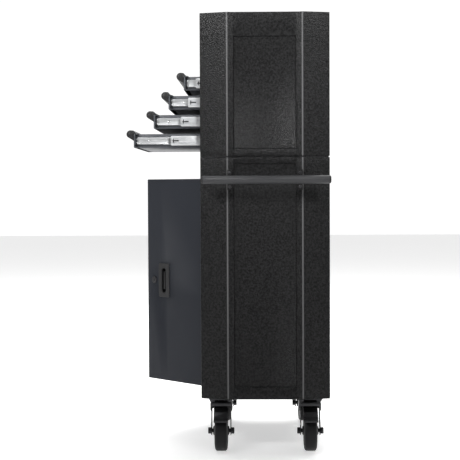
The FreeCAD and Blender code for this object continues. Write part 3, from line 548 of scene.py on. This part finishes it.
def cut_hole(bm, low, high, axes):
    """Slice the faces along the hole's edges and drop what lies inside it."""
    for axis in axes:
        for limit in (low[axis], high[axis]):
            normal = Vector((0, 0, 0))
            normal[axis] = 1
            point = Vector((0, 0, 0))
            point[axis] = limit
            geom = bm.verts[:] + bm.edges[:] + bm.faces[:]
            bmesh.ops.bisect_plane(bm, geom=geom, plane_co=point, plane_no=normal)
    inside = [
        face for face in bm.faces
        if all(low[i] - 1e-6 < face.calc_center_median()[i] < high[i] + 1e-6 for i in range(3))
    ]
    bmesh.ops.delete(bm, geom=inside, context="FACES")


def build_shells():
    cab_low, cab_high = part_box("cabinet_side_right")
    chest_low, chest_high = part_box("chest_side_right")
    for side, sign in (("right", 1), ("left", -1)):
        side_panel(f"cabinet_side_{side}", sign, cab_low.z + 28 * MM, cab_high.z - 14.5 * MM, False, True)
        side_panel(f"chest_side_{side}", sign, chest_low.z + 17.3 * MM, chest_high.z - 58 * MM, True, True)
    flat = ("cabinet_back", "cabinet_floor", "cabinet_top", "chest_back", "chest_floor", "compartment_floor")
    for node in flat:
        dress(node, BODY, 0.3 * MM)
    for node in ("cabinet_shelf", "cabinet_top_rail", "cabinet_bottom_rail", "chest_header"):
        dress(node, BODY, 0.5 * MM)
    dress("chest_liners", BODY)

    low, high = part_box("lid")
    skirt = Vector((low.x, low.y, high.z - 18 * MM))
    pan("lid_pressed", skirt, high, (2, -1), EDGE_RADIUS, BODY, "lid", ["lid"])
    bm = bmesh.new()
    strap = (CENTRE_X + 14 * MM, CENTRE_X + 30 * MM)
    catch_y = low.y + 6 * MM
    block(bm, (strap[0], catch_y, low.z), (strap[1], catch_y + SKIN, high.z - SKIN), 0.3 * MM)
    block(bm, (strap[0], catch_y, low.z), (strap[1], catch_y + 18 * MM, low.z + SKIN), 0.3 * MM)
    add_mesh("lid_catch", bm, ZINC, "lid")
    for node in ("lid_hinge_lower_leaves", "lid_hinge_upper_leaves", "door_pivot_pins"):
        dress(node, ZINC, 0.2 * MM)


# --------------------------------------------------------------------------- doors
def door_place(side):
    """Matrix that takes a leaf, drawn shut about its pivot, to where it stands at rest."""
    joint = JOINTS[f"door_{side}_hinge"]
    turn = Matrix.Rotation(math.radians(-joint["range_deg"][0]), 4, Vector(joint["axis"]))
    return Matrix.Translation(Vector(joint["pos_m"])) @ turn


def shut_box(node, place):
    """Corners of a node in its leaf's own shut coordinates."""
    back = place.inverted()
    points = [back @ vert.co for vert in NODES[node].data.vertices]
    low = Vector([min(p[i] for p in points) for i in range(3)])
    high = Vector([max(p[i] for p in points) for i in range(3)])
    return low, high


def build_doors():
    for side in ("right", "left"):
        place = door_place(side)
        low, high = shut_box(f"door_{side}", place)
        pull_low, pull_high = shut_box(f"door_pull_{side}", place)
        inset = 6 * MM
        hole_low = (pull_low.x + inset, low.y, pull_low.z + inset)
        hole_high = (pull_high.x - inset, low.y, pull_high.z - inset)
        pan(
            f"door_{side}_pressed", low, high, (1, 1), 2.2 * MM, DOOR, f"door_{side}", [f"door_{side}"],
            (hole_low, hole_high, (0, 2)), place,
        )
        build_pull(side, place, pull_low, pull_high)
        build_door_stiffener(side, place, low, high)
    dress("door_lock_case", DARK_STEEL, 0.4 * MM, 3)
    dress("door_lock_cylinder", DARK_STEEL, 0.2 * MM)
    dress("chest_lock_case", DARK_STEEL, 0.4 * MM, 3)
    dress("chest_lock_cylinder", DARK_STEEL, 0.2 * MM)


def build_pull(side, place, low, high):
    """Flush pull: a frame with rounded corners round a deep slot with round ends."""
    centre_x = (low.x + high.x) / 2
    centre_z = (low.z + high.z) / 2
    slot_half = 8 * MM
    straight = 24.5 * MM
    wall = 1.5 * MM
    face_y = low.y
    sheet_y = low.y + wall
    floor_y = high.y - wall

    def slot_ring(radius):
        top = arc_points((0, straight), radius, 0, 180, 12)
        bottom = arc_points((0, -straight), radius, 180, 360, 12)
        return top + bottom

    def frame_ring(inset):
        half_x = (high.x - low.x) / 2 - inset
        half_z = (high.z - low.z) / 2 - inset
        round_corner = 4 * MM - inset
        points = []
        for cx, cz, start in ((1, 1, 0), (-1, 1, 90), (-1, -1, 180), (1, -1, 270)):
            centre = (cx * (half_x - round_corner), cz * (half_z - round_corner))
            points += arc_points(centre, round_corner, start, start + 90, 6)
        return points

    bm = bmesh.new()
    layers = [
        (frame_ring(0), sheet_y),
        (frame_ring(0), face_y + 0.5 * MM),
        (frame_ring(0.5 * MM), face_y),
    ]
    rings = []
    for ring, y in layers:
        rings.append([bm.verts.new((centre_x + u, y, centre_z + v)) for u, v in ring])
    for lower, upper in zip(rings, rings[1:]):
        for i in range(len(lower)):
            j = (i + 1) % len(lower)
            bm.faces.new((lower[i], lower[j], upper[j], upper[i]))
    cup = []
    for radius, y in (
        (slot_half + 0.8 * MM, face_y),
        (slot_half, face_y + 0.8 * MM),
        (slot_half - 0.4 * MM, floor_y - 1 * MM),
        (slot_half - 1.4 * MM, floor_y),
    ):
        cup.append([bm.verts.new((centre_x + u, y, centre_z + v)) for u, v in slot_ring(radius)])
    for lower, upper in zip(cup, cup[1:]):
        for i in range(len(lower)):
            j = (i + 1) % len(lower)
            bm.faces.new((lower[i], lower[j], upper[j], upper[i]))
    bm.faces.new(cup[-1])
    edges = [e for e in bm.edges if e.is_boundary and all(abs(v.co.y - face_y) < 1e-7 for v in e.verts)]
    bmesh.ops.triangle_fill(bm, edges=edges, use_beauty=True)
    bmesh.ops.transform(bm, matrix=place, verts=bm.verts)
    inside = place @ Vector((high.x - 3 * MM, face_y + 3 * MM, centre_z))
    piece = add_mesh(
        f"door_pull_{side}_moulded", bm, PLASTIC, f"door_{side}", [f"door_pull_{side}"],
        40, [inside],
    )
    modifier(piece, "SOLIDIFY", "wall", thickness=1.2 * MM, offset=-1)
    bm = bmesh.new()
    lever_x = slot_half * 0.35
    block(
        bm, (centre_x - lever_x, face_y + 1.2 * MM, centre_z - straight + 2 * MM),
        (centre_x + lever_x, floor_y - 4 * MM, centre_z + straight - 2 * MM), 1.2 * MM, 3,
    )
    bmesh.ops.transform(bm, matrix=place, verts=bm.verts)
    add_mesh(f"door_pull_{side}_rib", bm, PLASTIC, f"door_{side}")


def build_door_stiffener(side, place, low, high):
    """Top-hat stiffener spot-welded up the inside of the leaf."""
    bm = bmesh.new()
    centre = low.x * 0.5 + high.x * 0.5 - (high.x - low.x) * 0.02
    inside = low.y + SKIN
    margin = 40 * MM
    profile = [(-22, 0), (-12, 0), (-10, 7), (10, 7), (12, 0), (22, 0)]
    rows = []
    for z in (low.z + margin, low.z + (high.z - low.z) * 0.30):
        rows.append([bm.verts.new((centre + u * MM, inside + v * MM, z)) for u, v in profile])
    for i in range(len(profile) - 1):
        bm.faces.new((rows[0][i], rows[0][i + 1], rows[1][i + 1], rows[1][i]))
    bmesh.ops.transform(bm, matrix=place, verts=bm.verts)
    piece = add_mesh(f"door_{side}_stiffener", bm, DOOR, f"door_{side}")
    modifier(piece, "SOLIDIFY", "sheet", thickness=1 * MM, offset=1)


# --------------------------------------------------------------------------- drawers and slides
def build_drawers():
    for number in range(1, 5):
        name = f"drawer_{number}"
        low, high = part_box(name)
        inner_low, inner_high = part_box(f"{name}_inner_members")
        half = min(abs(inner_low.x - CENTRE_X), abs(inner_high.x - CENTRE_X)) - 8 * MM
        build_tray(name, low, high, half)
        build_grip(name)
        build_inner_members(name)
        build_middle_members(name)
    build_outer_members()


def build_tray(name, low, high, half):
    """Folded drawer: a tray with rolled top edges and a wider front."""
    bm = bmesh.new()
    tray_low = (CENTRE_X - half, low.y + 0.2 * MM, low.z)
    tray_high = (CENTRE_X + half, high.y, high.z - 0.8 * MM)
    block(bm, tray_low, tray_high)
    for face in list(bm.faces):
        if all(abs(vert.co.z - tray_high[2]) < 1e-6 for vert in face.verts):
            bmesh.ops.delete(bm, geom=[face], context="FACES_ONLY")
    rim = [edge for edge in bm.edges if not edge.is_boundary]
    bmesh.ops.bevel(bm, geom=rim, offset=1.4 * MM, segments=3, affect="EDGES", profile=0.5)
    inside = (Vector(tray_low) + Vector(tray_high)) / 2
    piece = add_mesh(f"{name}_tray", bm, DRAWER, name, [name], 50, [inside])
    modifier(piece, "SOLIDIFY", "sheet", thickness=1 * MM, offset=-1)

    bm = bmesh.new()
    roll = 1.3 * MM
    for x in (CENTRE_X - half + roll, CENTRE_X + half - roll):
        profile = [(0, 0), (0, roll), (high.y - low.y - 14 * MM, roll), (high.y - low.y - 14 * MM, 0)]
        lathe(bm, profile, (x, low.y + 12 * MM, high.z - roll), "y", 12)
    back_profile = [(0, 0), (0, roll), (2 * half - 4 * MM, roll), (2 * half - 4 * MM, 0)]
    lathe(bm, back_profile, (CENTRE_X - half + 2 * MM, high.y - roll, high.z - roll), "x", 12)
    add_mesh(f"{name}_rolled_edges", bm, DRAWER, name, smooth_angle=50)

    bm = bmesh.new()
    block(bm, low, (high.x, low.y + 12 * MM, high.z))
    for face in list(bm.faces):
        if all(abs(vert.co.y - low.y - 12 * MM) < 1e-6 for vert in face.verts):
            bmesh.ops.delete(bm, geom=[face], context="FACES_ONLY")
    rim = [edge for edge in bm.edges if not edge.is_boundary]
    bmesh.ops.bevel(bm, geom=rim, offset=1.2 * MM, segments=3, affect="EDGES", profile=0.5)
    keep = low.y + 3.5 * MM
    for vert in bm.verts:
        near_side = abs(abs(vert.co.x - CENTRE_X) - (high.x - CENTRE_X)) < 1e-6
        if near_side and vert.co.y > keep:
            vert.co.y = keep
    inside = (CENTRE_X, low.y + 6 * MM, (low.z + high.z) / 2)
    piece = add_mesh(f"{name}_front", bm, DRAWER, name, (), 50, [inside])
    modifier(piece, "SOLIDIFY", "sheet", thickness=1 * MM, offset=-1)


def grip_section(low, high, front_y, edge_z):
    """Section of the grip as (y, z): a round nose that widens back to a saddle over the drawer's front."""
    radius = high.z - edge_z + 0.6 * MM
    nose = (low.y + radius, high.z - radius)
    saddle = 1.5 * MM
    points = [(front_y - 1 * MM, high.z - 0.4 * MM)]
    points += arc_points(nose, radius, 88, 226, 24)
    points += [
        (front_y - 1.4 * MM, edge_z - 16 * MM),
        (front_y, edge_z - 17 * MM),
        (front_y, edge_z),
        (front_y + 9.4 * MM, edge_z),
        (front_y + 10 * MM, edge_z + 0.5 * MM),
        (front_y + 9.4 * MM, edge_z + saddle),
        (front_y + 5.5 * MM, edge_z + saddle + 0.3 * MM),
    ]
    return points


def extrude_section(bm, section, starts):
    """Sweep a closed (y, z) section along x through the given stations, drawn in at the ends."""
    centre = Vector((sum(p[0] for p in section) / len(section), sum(p[1] for p in section) / len(section)))
    rings = []
    for x, inset in starts:
        ring = []
        for y, z in section:
            away = Vector((y, z)) - centre
            point = Vector((y, z)) - away.normalized() * inset
            ring.append(bm.verts.new((x, point.x, point.y)))
        rings.append(ring)
    for lower, upper in zip(rings, rings[1:]):
        for i in range(len(section)):
            j = (i + 1) % len(section)
            bm.faces.new((lower[i], lower[j], upper[j], upper[i]))
    bm.faces.new(rings[0])
    bm.faces.new(rings[-1])


def build_grip(name):
    low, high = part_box(f"{name}_handle")
    tray_low, tray_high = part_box(name)
    section = grip_section(low, high, tray_low.y, tray_high.z)
    cap = 3 * MM
    bm = bmesh.new()
    drawn_in = 0.3 * MM
    ends = (low.x + cap, high.x - cap)
    extrude_section(bm, section, [(ends[0], drawn_in), (ends[0], 0), (ends[1], 0), (ends[1], drawn_in)])
    add_mesh(f"{name}_grip", bm, GRIP, name, [f"{name}_handle"], 40)
    bm = bmesh.new()
    rim = 0.9 * MM
    for outer, inner in ((low.x, low.x + cap), (high.x, high.x - cap)):
        way = 1 if inner > outer else -1
        closed = [point for point in section if point[0] < tray_low.y + 9 * MM]
        stations = [(outer + way * 0.5 * MM, 0.6 * MM), (outer + way * rim, 0.0), (inner, 0.0)]
        extrude_section(bm, closed, stations)
        nose_y = low.y + 10.6 * MM
        nose_z = high.z - 10.6 * MM
        disc = [(0.0, 0.0), (0.0, 6.6 * MM), (0.4 * MM, 7.2 * MM), (1 * MM, 7.2 * MM)]
        lathe(bm, [(way * u, r) for u, r in disc], (outer, nose_y, nose_z), "x", 32)
    add_mesh(f"{name}_grip_caps", bm, PLASTIC, name, smooth_angle=40)


def slide_section(web, lip, half, beads):
    """Section of a rolled slide member as (x, z) from its centre: web with beads, and curled flanges."""
    sign = 1 if lip > web else -1
    radius = 1.6 * MM
    outer = [
        (lip, -half), (web + sign * radius, -half), (web + sign * radius * 0.3, -half + radius * 0.3),
        (web, -half + radius),
    ]
    for z in beads:
        rise = 0.9 * MM * sign
        for height, off in ((-1.1, 0), (-0.5, rise), (0.5, rise), (1.1, 0)):
            outer.append((web + off, z + height * MM))
    outer += [
        (web, half - radius),
        (web + sign * radius * 0.3, half - radius * 0.3),
        (web + sign * radius, half),
        (lip, half),
    ]
    return outer


def slide_member(bm, section, start, end, z, sign, nose):
    """Sweep an open section from start to end along y, with rounded front corners on its web."""
    rows = []
    steps = 6
    stations = []
    for step in range(steps + 1):
        turn = math.pi / 2 * step / steps
        stations.append((start + nose * (1 - math.cos(turn)), math.sin(turn)))
    stations.append((end, 1.0))
    half = max(v for u, v in section)
    for y, part in stations:
        height = half - nose * (1 - part)
        row = []
        for u, v in section:
            limited = max(-height, min(height, v))
            row.append(bm.verts.new((CENTRE_X + sign * u, y, z + limited)))
        rows.append(row)
    for lower, upper in zip(rows, rows[1:]):
        for i in range(len(section) - 1):
            bm.faces.new((lower[i], lower[i + 1], upper[i + 1], upper[i]))


def member_pair(node, name, web, lip, half, beads, nose, material):
    low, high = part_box(node)
    z = (low.z + high.z) / 2
    bm = bmesh.new()
    section = slide_section(web, lip, half, beads)
    for sign in (1, -1):
        slide_member(bm, section, low.y, high.y, z, sign, nose)
    insides = [(CENTRE_X + sign * (web + lip) / 2, (low.y + high.y) / 2, z) for sign in (1, -1)]
    piece = add_mesh(name, bm, material, BODY_OF[node], [node], 30, insides)
    modifier(piece, "SOLIDIFY", "sheet", thickness=0.9 * MM, offset=-1)
    return low, high, z


def build_inner_members(name):
    node = f"{name}_inner_members"
    low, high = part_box(node)
    lip = high.x - CENTRE_X
    web = lip - 8 * MM
    member_pair(node, f"{node}_rolled", web, lip, (high.z - low.z) / 2, [], 5 * MM, ZINC)
    z = (low.z + high.z) / 2
    bm = bmesh.new()
    for sign in (1, -1):
        face = CENTRE_X + sign * (web + 1.1 * MM)
        for y in (low.y + 30 * MM, low.y + 95 * MM, low.y + 160 * MM):
            profile = [(0, 0), (0, 3 * MM), (0.9 * MM, 2.4 * MM), (1.2 * MM, 0)]
            lathe(bm, [(sign * u, r) for u, r in profile], (face, y, z), "x", 20)
    add_mesh(f"{node}_rivets", bm, NICKEL, name, smooth_angle=50)


def build_middle_members(name):
    node = f"{name}_middle_members"
    low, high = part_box(node)
    web = high.x - CENTRE_X
    lip = web - 8.5 * MM
    beads = [-5.2 * MM, 5.2 * MM]
    member_pair(node, f"{node}_rolled", web, lip, (high.z - low.z) / 2, beads, 3.5 * MM, ZINC)
    z = (low.z + high.z) / 2
    body = BODY_OF[node]
    bm = bmesh.new()
    for sign in (1, -1):
        face = CENTRE_X + sign * web
        y = low.y + 7 * MM
        inner = face - sign * 0.9 * MM
        spans = sorted((inner, face + sign * 0.5 * MM))
        diamond = [(0, 6.2), (3.2, 0), (0, -6.2), (-3.2, 0)]
        front = [bm.verts.new((spans[0], y + u * MM, z + v * MM)) for u, v in diamond]
        backs = [bm.verts.new((spans[1], y + u * 0.8 * MM, z + v * 0.8 * MM)) for u, v in diamond]
        bm.faces.new(front)
        bm.faces.new(backs)
        for i in range(4):
            j = (i + 1) % 4
            bm.faces.new((front[i], front[j], backs[j], backs[i]))
        block(bm, (spans[0], y + 2.5 * MM, z - 1.6 * MM), (spans[1], y + 13 * MM, z + 1.6 * MM), 0.3 * MM)
    add_mesh(f"{name}_slide_levers", bm, PLASTIC, body, smooth_angle=30)
    bm = bmesh.new()
    for sign in (1, -1):
        x = CENTRE_X + sign * (web - 4.6 * MM)
        for z_end in (z - 9.2 * MM, z + 9.2 * MM):
            first = (x - 2.6 * MM, low.y + 0.6 * MM, z_end - 1.4 * MM)
            last = (x + 2.6 * MM, low.y + 5 * MM, z_end + 1.4 * MM)
            block(bm, first, last, 0.5 * MM)
    add_mesh(f"{name}_slide_bumpers", bm, PLASTIC, body, smooth_angle=30)


def build_outer_members():
    low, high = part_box("slide_outer_members")
    web = high.x - CENTRE_X
    lip = web - 10 * MM
    bm = bmesh.new()
    insides = []
    section = slide_section(web, lip, 15 * MM, [-6 * MM, 6 * MM])
    for number in range(1, 5):
        drawer_low, drawer_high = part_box(f"drawer_{number}")
        z = (drawer_low.z + drawer_high.z) / 2
        for sign in (1, -1):
            slide_member(bm, section, low.y, high.y, z, sign, 2 * MM)
            insides.append((CENTRE_X + sign * (web + lip) / 2, (low.y + high.y) / 2, z))
    replaced = ["slide_outer_members"]
    piece = add_mesh("slide_outer_members_rolled", bm, ZINC, "cabinet", replaced, 30, insides)
    modifier(piece, "SOLIDIFY", "sheet", thickness=0.9 * MM, offset=-1)


# --------------------------------------------------------------------------- push bar
# a round head with a socket, as (distance from its seat, radius)
SCREW_HEAD = [
    (0, 0),
    (0, 4 * MM),
    (1.2 * MM, 3.8 * MM),
    (2.2 * MM, 2.6 * MM),
    (2.4 * MM, 1.6 * MM),
    (1.2 * MM, 1.2 * MM),
    (1.2 * MM, 0),
]


def build_push_bar():
    low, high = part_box("push_bar")
    radius = (high.x - low.x) / 2
    centre = ((low.x + high.x) / 2, low.y, (low.z + high.z) / 2)
    length = high.y - low.y
    plug = 4 * MM
    bm = bmesh.new()
    wall = 1.5 * MM
    ring = [
        (plug, radius - wall),
        (plug, radius - 0.3 * MM),
        (plug + 0.3 * MM, radius),
        (length - plug - 0.3 * MM, radius),
        (length - plug, radius - 0.3 * MM),
        (length - plug, radius - wall),
        (plug, radius - wall),
    ]
    lathe(bm, ring, centre, "y", 48)
    add_mesh("push_bar_tube", bm, TUBE, "cabinet", ["push_bar"], 50)
    bm = bmesh.new()
    cap = [(0, 0), (0, radius * 0.55)]
    for turn in (0.3, 0.6, 0.9, 1.2, math.pi / 2):
        cap.append((plug - plug * math.cos(turn), radius * 0.55 + radius * 0.43 * math.sin(turn)))
    cap += [
        (plug + 0.1 * MM, radius - 0.25 * MM),
        (plug + 8 * MM, radius - wall - 0.1 * MM),
        (plug + 8 * MM, 0),
    ]
    lathe(bm, cap, centre, "y", 48)
    lathe(bm, [(length - u, r) for u, r in cap], centre, "y", 48)
    add_mesh("push_bar_plugs", bm, PLASTIC, "cabinet", smooth_angle=50)

    dress("push_bar_brackets", TUBE, 1.2 * MM, 3)
    foot_low, foot_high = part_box("push_bar_brackets")
    bm = bmesh.new()
    screw_reach = 17 * MM
    face_x = CENTRE_X + HALF_WIDTH + 3 * MM
    for y in (foot_low.y + BAND / 2, foot_high.y - BAND / 2):
        for offset in (-screw_reach, screw_reach):
            lathe(bm, SCREW_HEAD, (face_x, y, centre[2] + offset), "x", 24)
    add_mesh("push_bar_screws", bm, DARK_STEEL, "cabinet", smooth_angle=40)


# --------------------------------------------------------------------------- casters
def build_wheel(node):
    low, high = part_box(node)
    centre = ((low.x + high.x) / 2, (low.y + high.y) / 2, (low.z + high.z) / 2)
    radius = (high.z - low.z) / 2
    rim = radius - 10 * MM
    body = BODY_OF[node]
    tread_half = 14 * MM
    tread = [
        (tread_half + 2.2 * MM, rim),
        (tread_half + 1.6 * MM, rim + 4 * MM),
        (tread_half - 0.2 * MM, radius - 2.4 * MM),
        (tread_half - 1.6 * MM, radius - 0.9 * MM),
        (tread_half - 3.6 * MM, radius - 0.2 * MM),
        (0, radius),
    ]
    outline = tread + [(-u, r) for u, r in reversed(tread[:-1])]
    bm = bmesh.new()
    lathe(bm, outline + [outline[0]], centre, "y", 96)
    add_mesh(f"{node}_tread", bm, TREAD, body, [node], 40)

    bore = 5.05 * MM
    half_hub = (high.y - low.y) / 2
    core = [
        (half_hub, bore),
        (half_hub, 9 * MM),
        (half_hub - 0.8 * MM, 10.5 * MM),
        (half_hub - 3 * MM, 12 * MM),
        (16 * MM, 13 * MM),
        (13.5 * MM, 16 * MM),
        (11.5 * MM, 22 * MM),
        (11.5 * MM, 30 * MM),
        (13.5 * MM, 34 * MM),
        (15 * MM, 36.5 * MM),
        (15 * MM, 38.5 * MM),
        (14.4 * MM, rim - 0.1 * MM),
    ]
    outline = core + [(-u, r) for u, r in reversed(core)]
    bm = bmesh.new()
    lathe(bm, outline + [outline[0]], centre, "y", 96)
    for spoke in range(8):
        turn = Matrix.Translation(Vector(centre)) @ Matrix.Rotation(math.pi / 4 * spoke, 4, "Y")
        spoke_mesh = bmesh.new()
        block(spoke_mesh, (-1.4 * MM, -13.6 * MM, 13 * MM), (1.4 * MM, 13.6 * MM, 36 * MM), 0.5 * MM)
        bmesh.ops.transform(spoke_mesh, matrix=turn, verts=spoke_mesh.verts)
        merge(bm, spoke_mesh)
    add_mesh(f"{node}_core", bm, CORE, body, smooth_angle=40)


def merge(bm, other):
    mesh = bpy.data.meshes.new("scratch")
    other.to_mesh(mesh)
    other.free()
    bm.from_mesh(mesh)
    bpy.data.meshes.remove(mesh)


def build_casters():
    for end in ("front", "rear"):
        dress(f"caster_{end}_fork", DARK_STEEL, 0.8 * MM, 2)
        dress(f"caster_{end}_axle", DARK_STEEL, 0.5 * MM)
        dress(f"caster_{end}_brake_pedal", DARK_STEEL, 0.7 * MM)
        build_wheel(f"caster_{end}_wheel")
        build_wheel(f"fixed_caster_{end}_wheel")
        build_shoulders(end)
        build_pedal_pad(end)
    dress("caster_swivel_plates", DARK_STEEL, 0.5 * MM)
    dress("fixed_caster_brackets", DARK_STEEL, 0.6 * MM)
    dress("fixed_caster_axles", DARK_STEEL, 0.5 * MM)
    dress("caster_bolts", DARK_STEEL, 0.4 * MM)


def build_shoulders(end):
    """Pressed skirt round the top of the fork, and the raceway's lower cup."""
    low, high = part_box(f"caster_{end}_fork")
    joint = JOINTS[f"caster_{end}_swivel"]
    x, y, z = joint["pos_m"]
    bm = bmesh.new()
    outside = [(9, 23), (7, 26.5), (3.5, 27), (1, 25.5), (0, 23.5)]
    inside = [(1.1, 22.5), (3.5, 25.6), (6.5, 25.2), (8.6, 22), (9, 23)]
    cup = [(high.z - down * MM - z, radius * MM) for down, radius in outside + inside]
    lathe(bm, cup, (x, y, z), "z", 56)
    half = (high.y - low.y) / 2 - 1 * MM
    for front_x, drop in ((high.x - 2.4 * MM, 9.5 * MM), (low.x + 0.4 * MM, 12 * MM)):
        last = (front_x + 2 * MM, y + half, high.z - 0.6 * MM)
        block(bm, (front_x, y - half, high.z - drop), last, 0.8 * MM)
    for side in (-1, 1):
        shoulder = (high.y - low.y) / 2 * side
        span = sorted((y + shoulder - side * 1 * MM, y + shoulder + side * 2.6 * MM))
        low_corner = (low.x + 4 * MM, span[0], high.z - 24 * MM)
        block(bm, low_corner, (x + 24 * MM, span[1], high.z - 4 * MM), 1.7 * MM, 3)
    add_mesh(f"caster_{end}_race_cup", bm, DARK_STEEL, f"caster_{end}", (), 50)


def build_pedal_pad(end):
    """Ribbed rubber pad on the toe of the brake pedal."""
    node = f"caster_{end}_brake_pedal"
    low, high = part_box(node)
    bm = bmesh.new()
    centre_y = (low.y + high.y) / 2
    tab_z = low.z + 3.5 * MM
    for step in range(4):
        x = high.x - 9 * MM + step * 2.4 * MM
        last = (x + 1.2 * MM, centre_y + 15 * MM, tab_z + 1.4 * MM)
        block(bm, (x, centre_y - 15 * MM, tab_z), last, 0.3 * MM)
    add_mesh(f"{node}_ribs", bm, PLASTIC, f"pedal_{end}")


# --------------------------------------------------------------------------- studio
def look_from(place, toward, lens, roll):
    data = bpy.data.cameras.new("camera")
    data.lens = lens
    data.sensor_width = 36
    data.clip_end = 50
    camera = bpy.data.objects.new("camera", data)
    camera.location = place
    turn = (Vector(toward) - Vector(place)).to_track_quat("-Z", "Y")
    camera.rotation_euler = (turn.to_matrix() @ Matrix.Rotation(math.radians(roll), 3, "Z")).to_euler()
    bpy.context.scene.collection.objects.link(camera)
    bpy.context.scene.camera = camera


def area_light(name, place, toward, size, power, beam=180):
    data = bpy.data.lights.new(name, "AREA")
    data.shape = "RECTANGLE"
    data.size, data.size_y = size
    data.energy = power
    data.spread = math.radians(beam)
    lamp = bpy.data.objects.new(name, data)
    lamp.location = place
    lamp.rotation_euler = (Vector(toward) - Vector(place)).to_track_quat("-Z", "Y").to_euler()
    bpy.context.scene.collection.objects.link(lamp)


def studio_sky():
    """Bright behind the chest, dim on the side it is seen from."""
    world = bpy.data.worlds.new("studio")
    world.use_nodes = True
    tree = world.node_tree
    surface = tree.nodes["Background"]
    source = tree.nodes.new("ShaderNodeTexCoord")
    parts = tree.nodes.new("ShaderNodeSeparateXYZ")
    link(tree, source.outputs["Generated"], parts.inputs["Vector"])
    link(tree, spread(tree, parts.outputs["X"], -0.75, 0.05, 1.06, 0.06), surface.inputs["Strength"])
    surface.inputs["Color"].default_value = (1, 1, 1, 1)
    bpy.context.scene.world = world


def build_studio():
    scene = bpy.context.scene
    scene.view_settings.view_transform = "Standard"
    studio_sky()

    bm = bmesh.new()
    bmesh.ops.create_grid(bm, x_segments=2, y_segments=2, size=14)
    mesh = bpy.data.meshes.new("floor")
    bm.to_mesh(mesh)
    bm.free()
    mesh.materials.append(studio_floor("pale_floor"))
    floor = bpy.data.objects.new("floor", mesh)
    scene.collection.objects.link(floor)

    near_face = CENTRE_X + HALF_WIDTH
    turn = math.radians(1.09)
    dip = math.radians(1.93)
    place = Vector((near_face + 3.2, CENTRE_Y - 0.025, 0.655))
    sideways = -math.sin(turn) * math.cos(dip)
    direction = Vector((-math.cos(turn) * math.cos(dip), sideways, -math.sin(dip)))
    look_from(place, place + direction, 102.6, -0.25)

    high = Vector((CENTRE_X + HALF_WIDTH, CENTRE_Y, 1.1))
    area_light("front_left", (2.3, -1.7, 2.4), high, (0.8, 0.8), 4.6, 36)
    area_light("rear_right", (2.3, 1.5, 2.4), high, (0.7, 0.8), 3.0, 36)
    area_light("edge_strip", (2.4, -0.8, 2.2), high, (0.22, 1.2), 0.4, 40)
    area_light("top_soft", (-1.6, 0.0, 3.4), (-1.2, 0, 0), (3.4, 3.4), 190)


build_shells()
build_doors()
build_drawers()
build_push_bar()
build_casters()
build_studio()
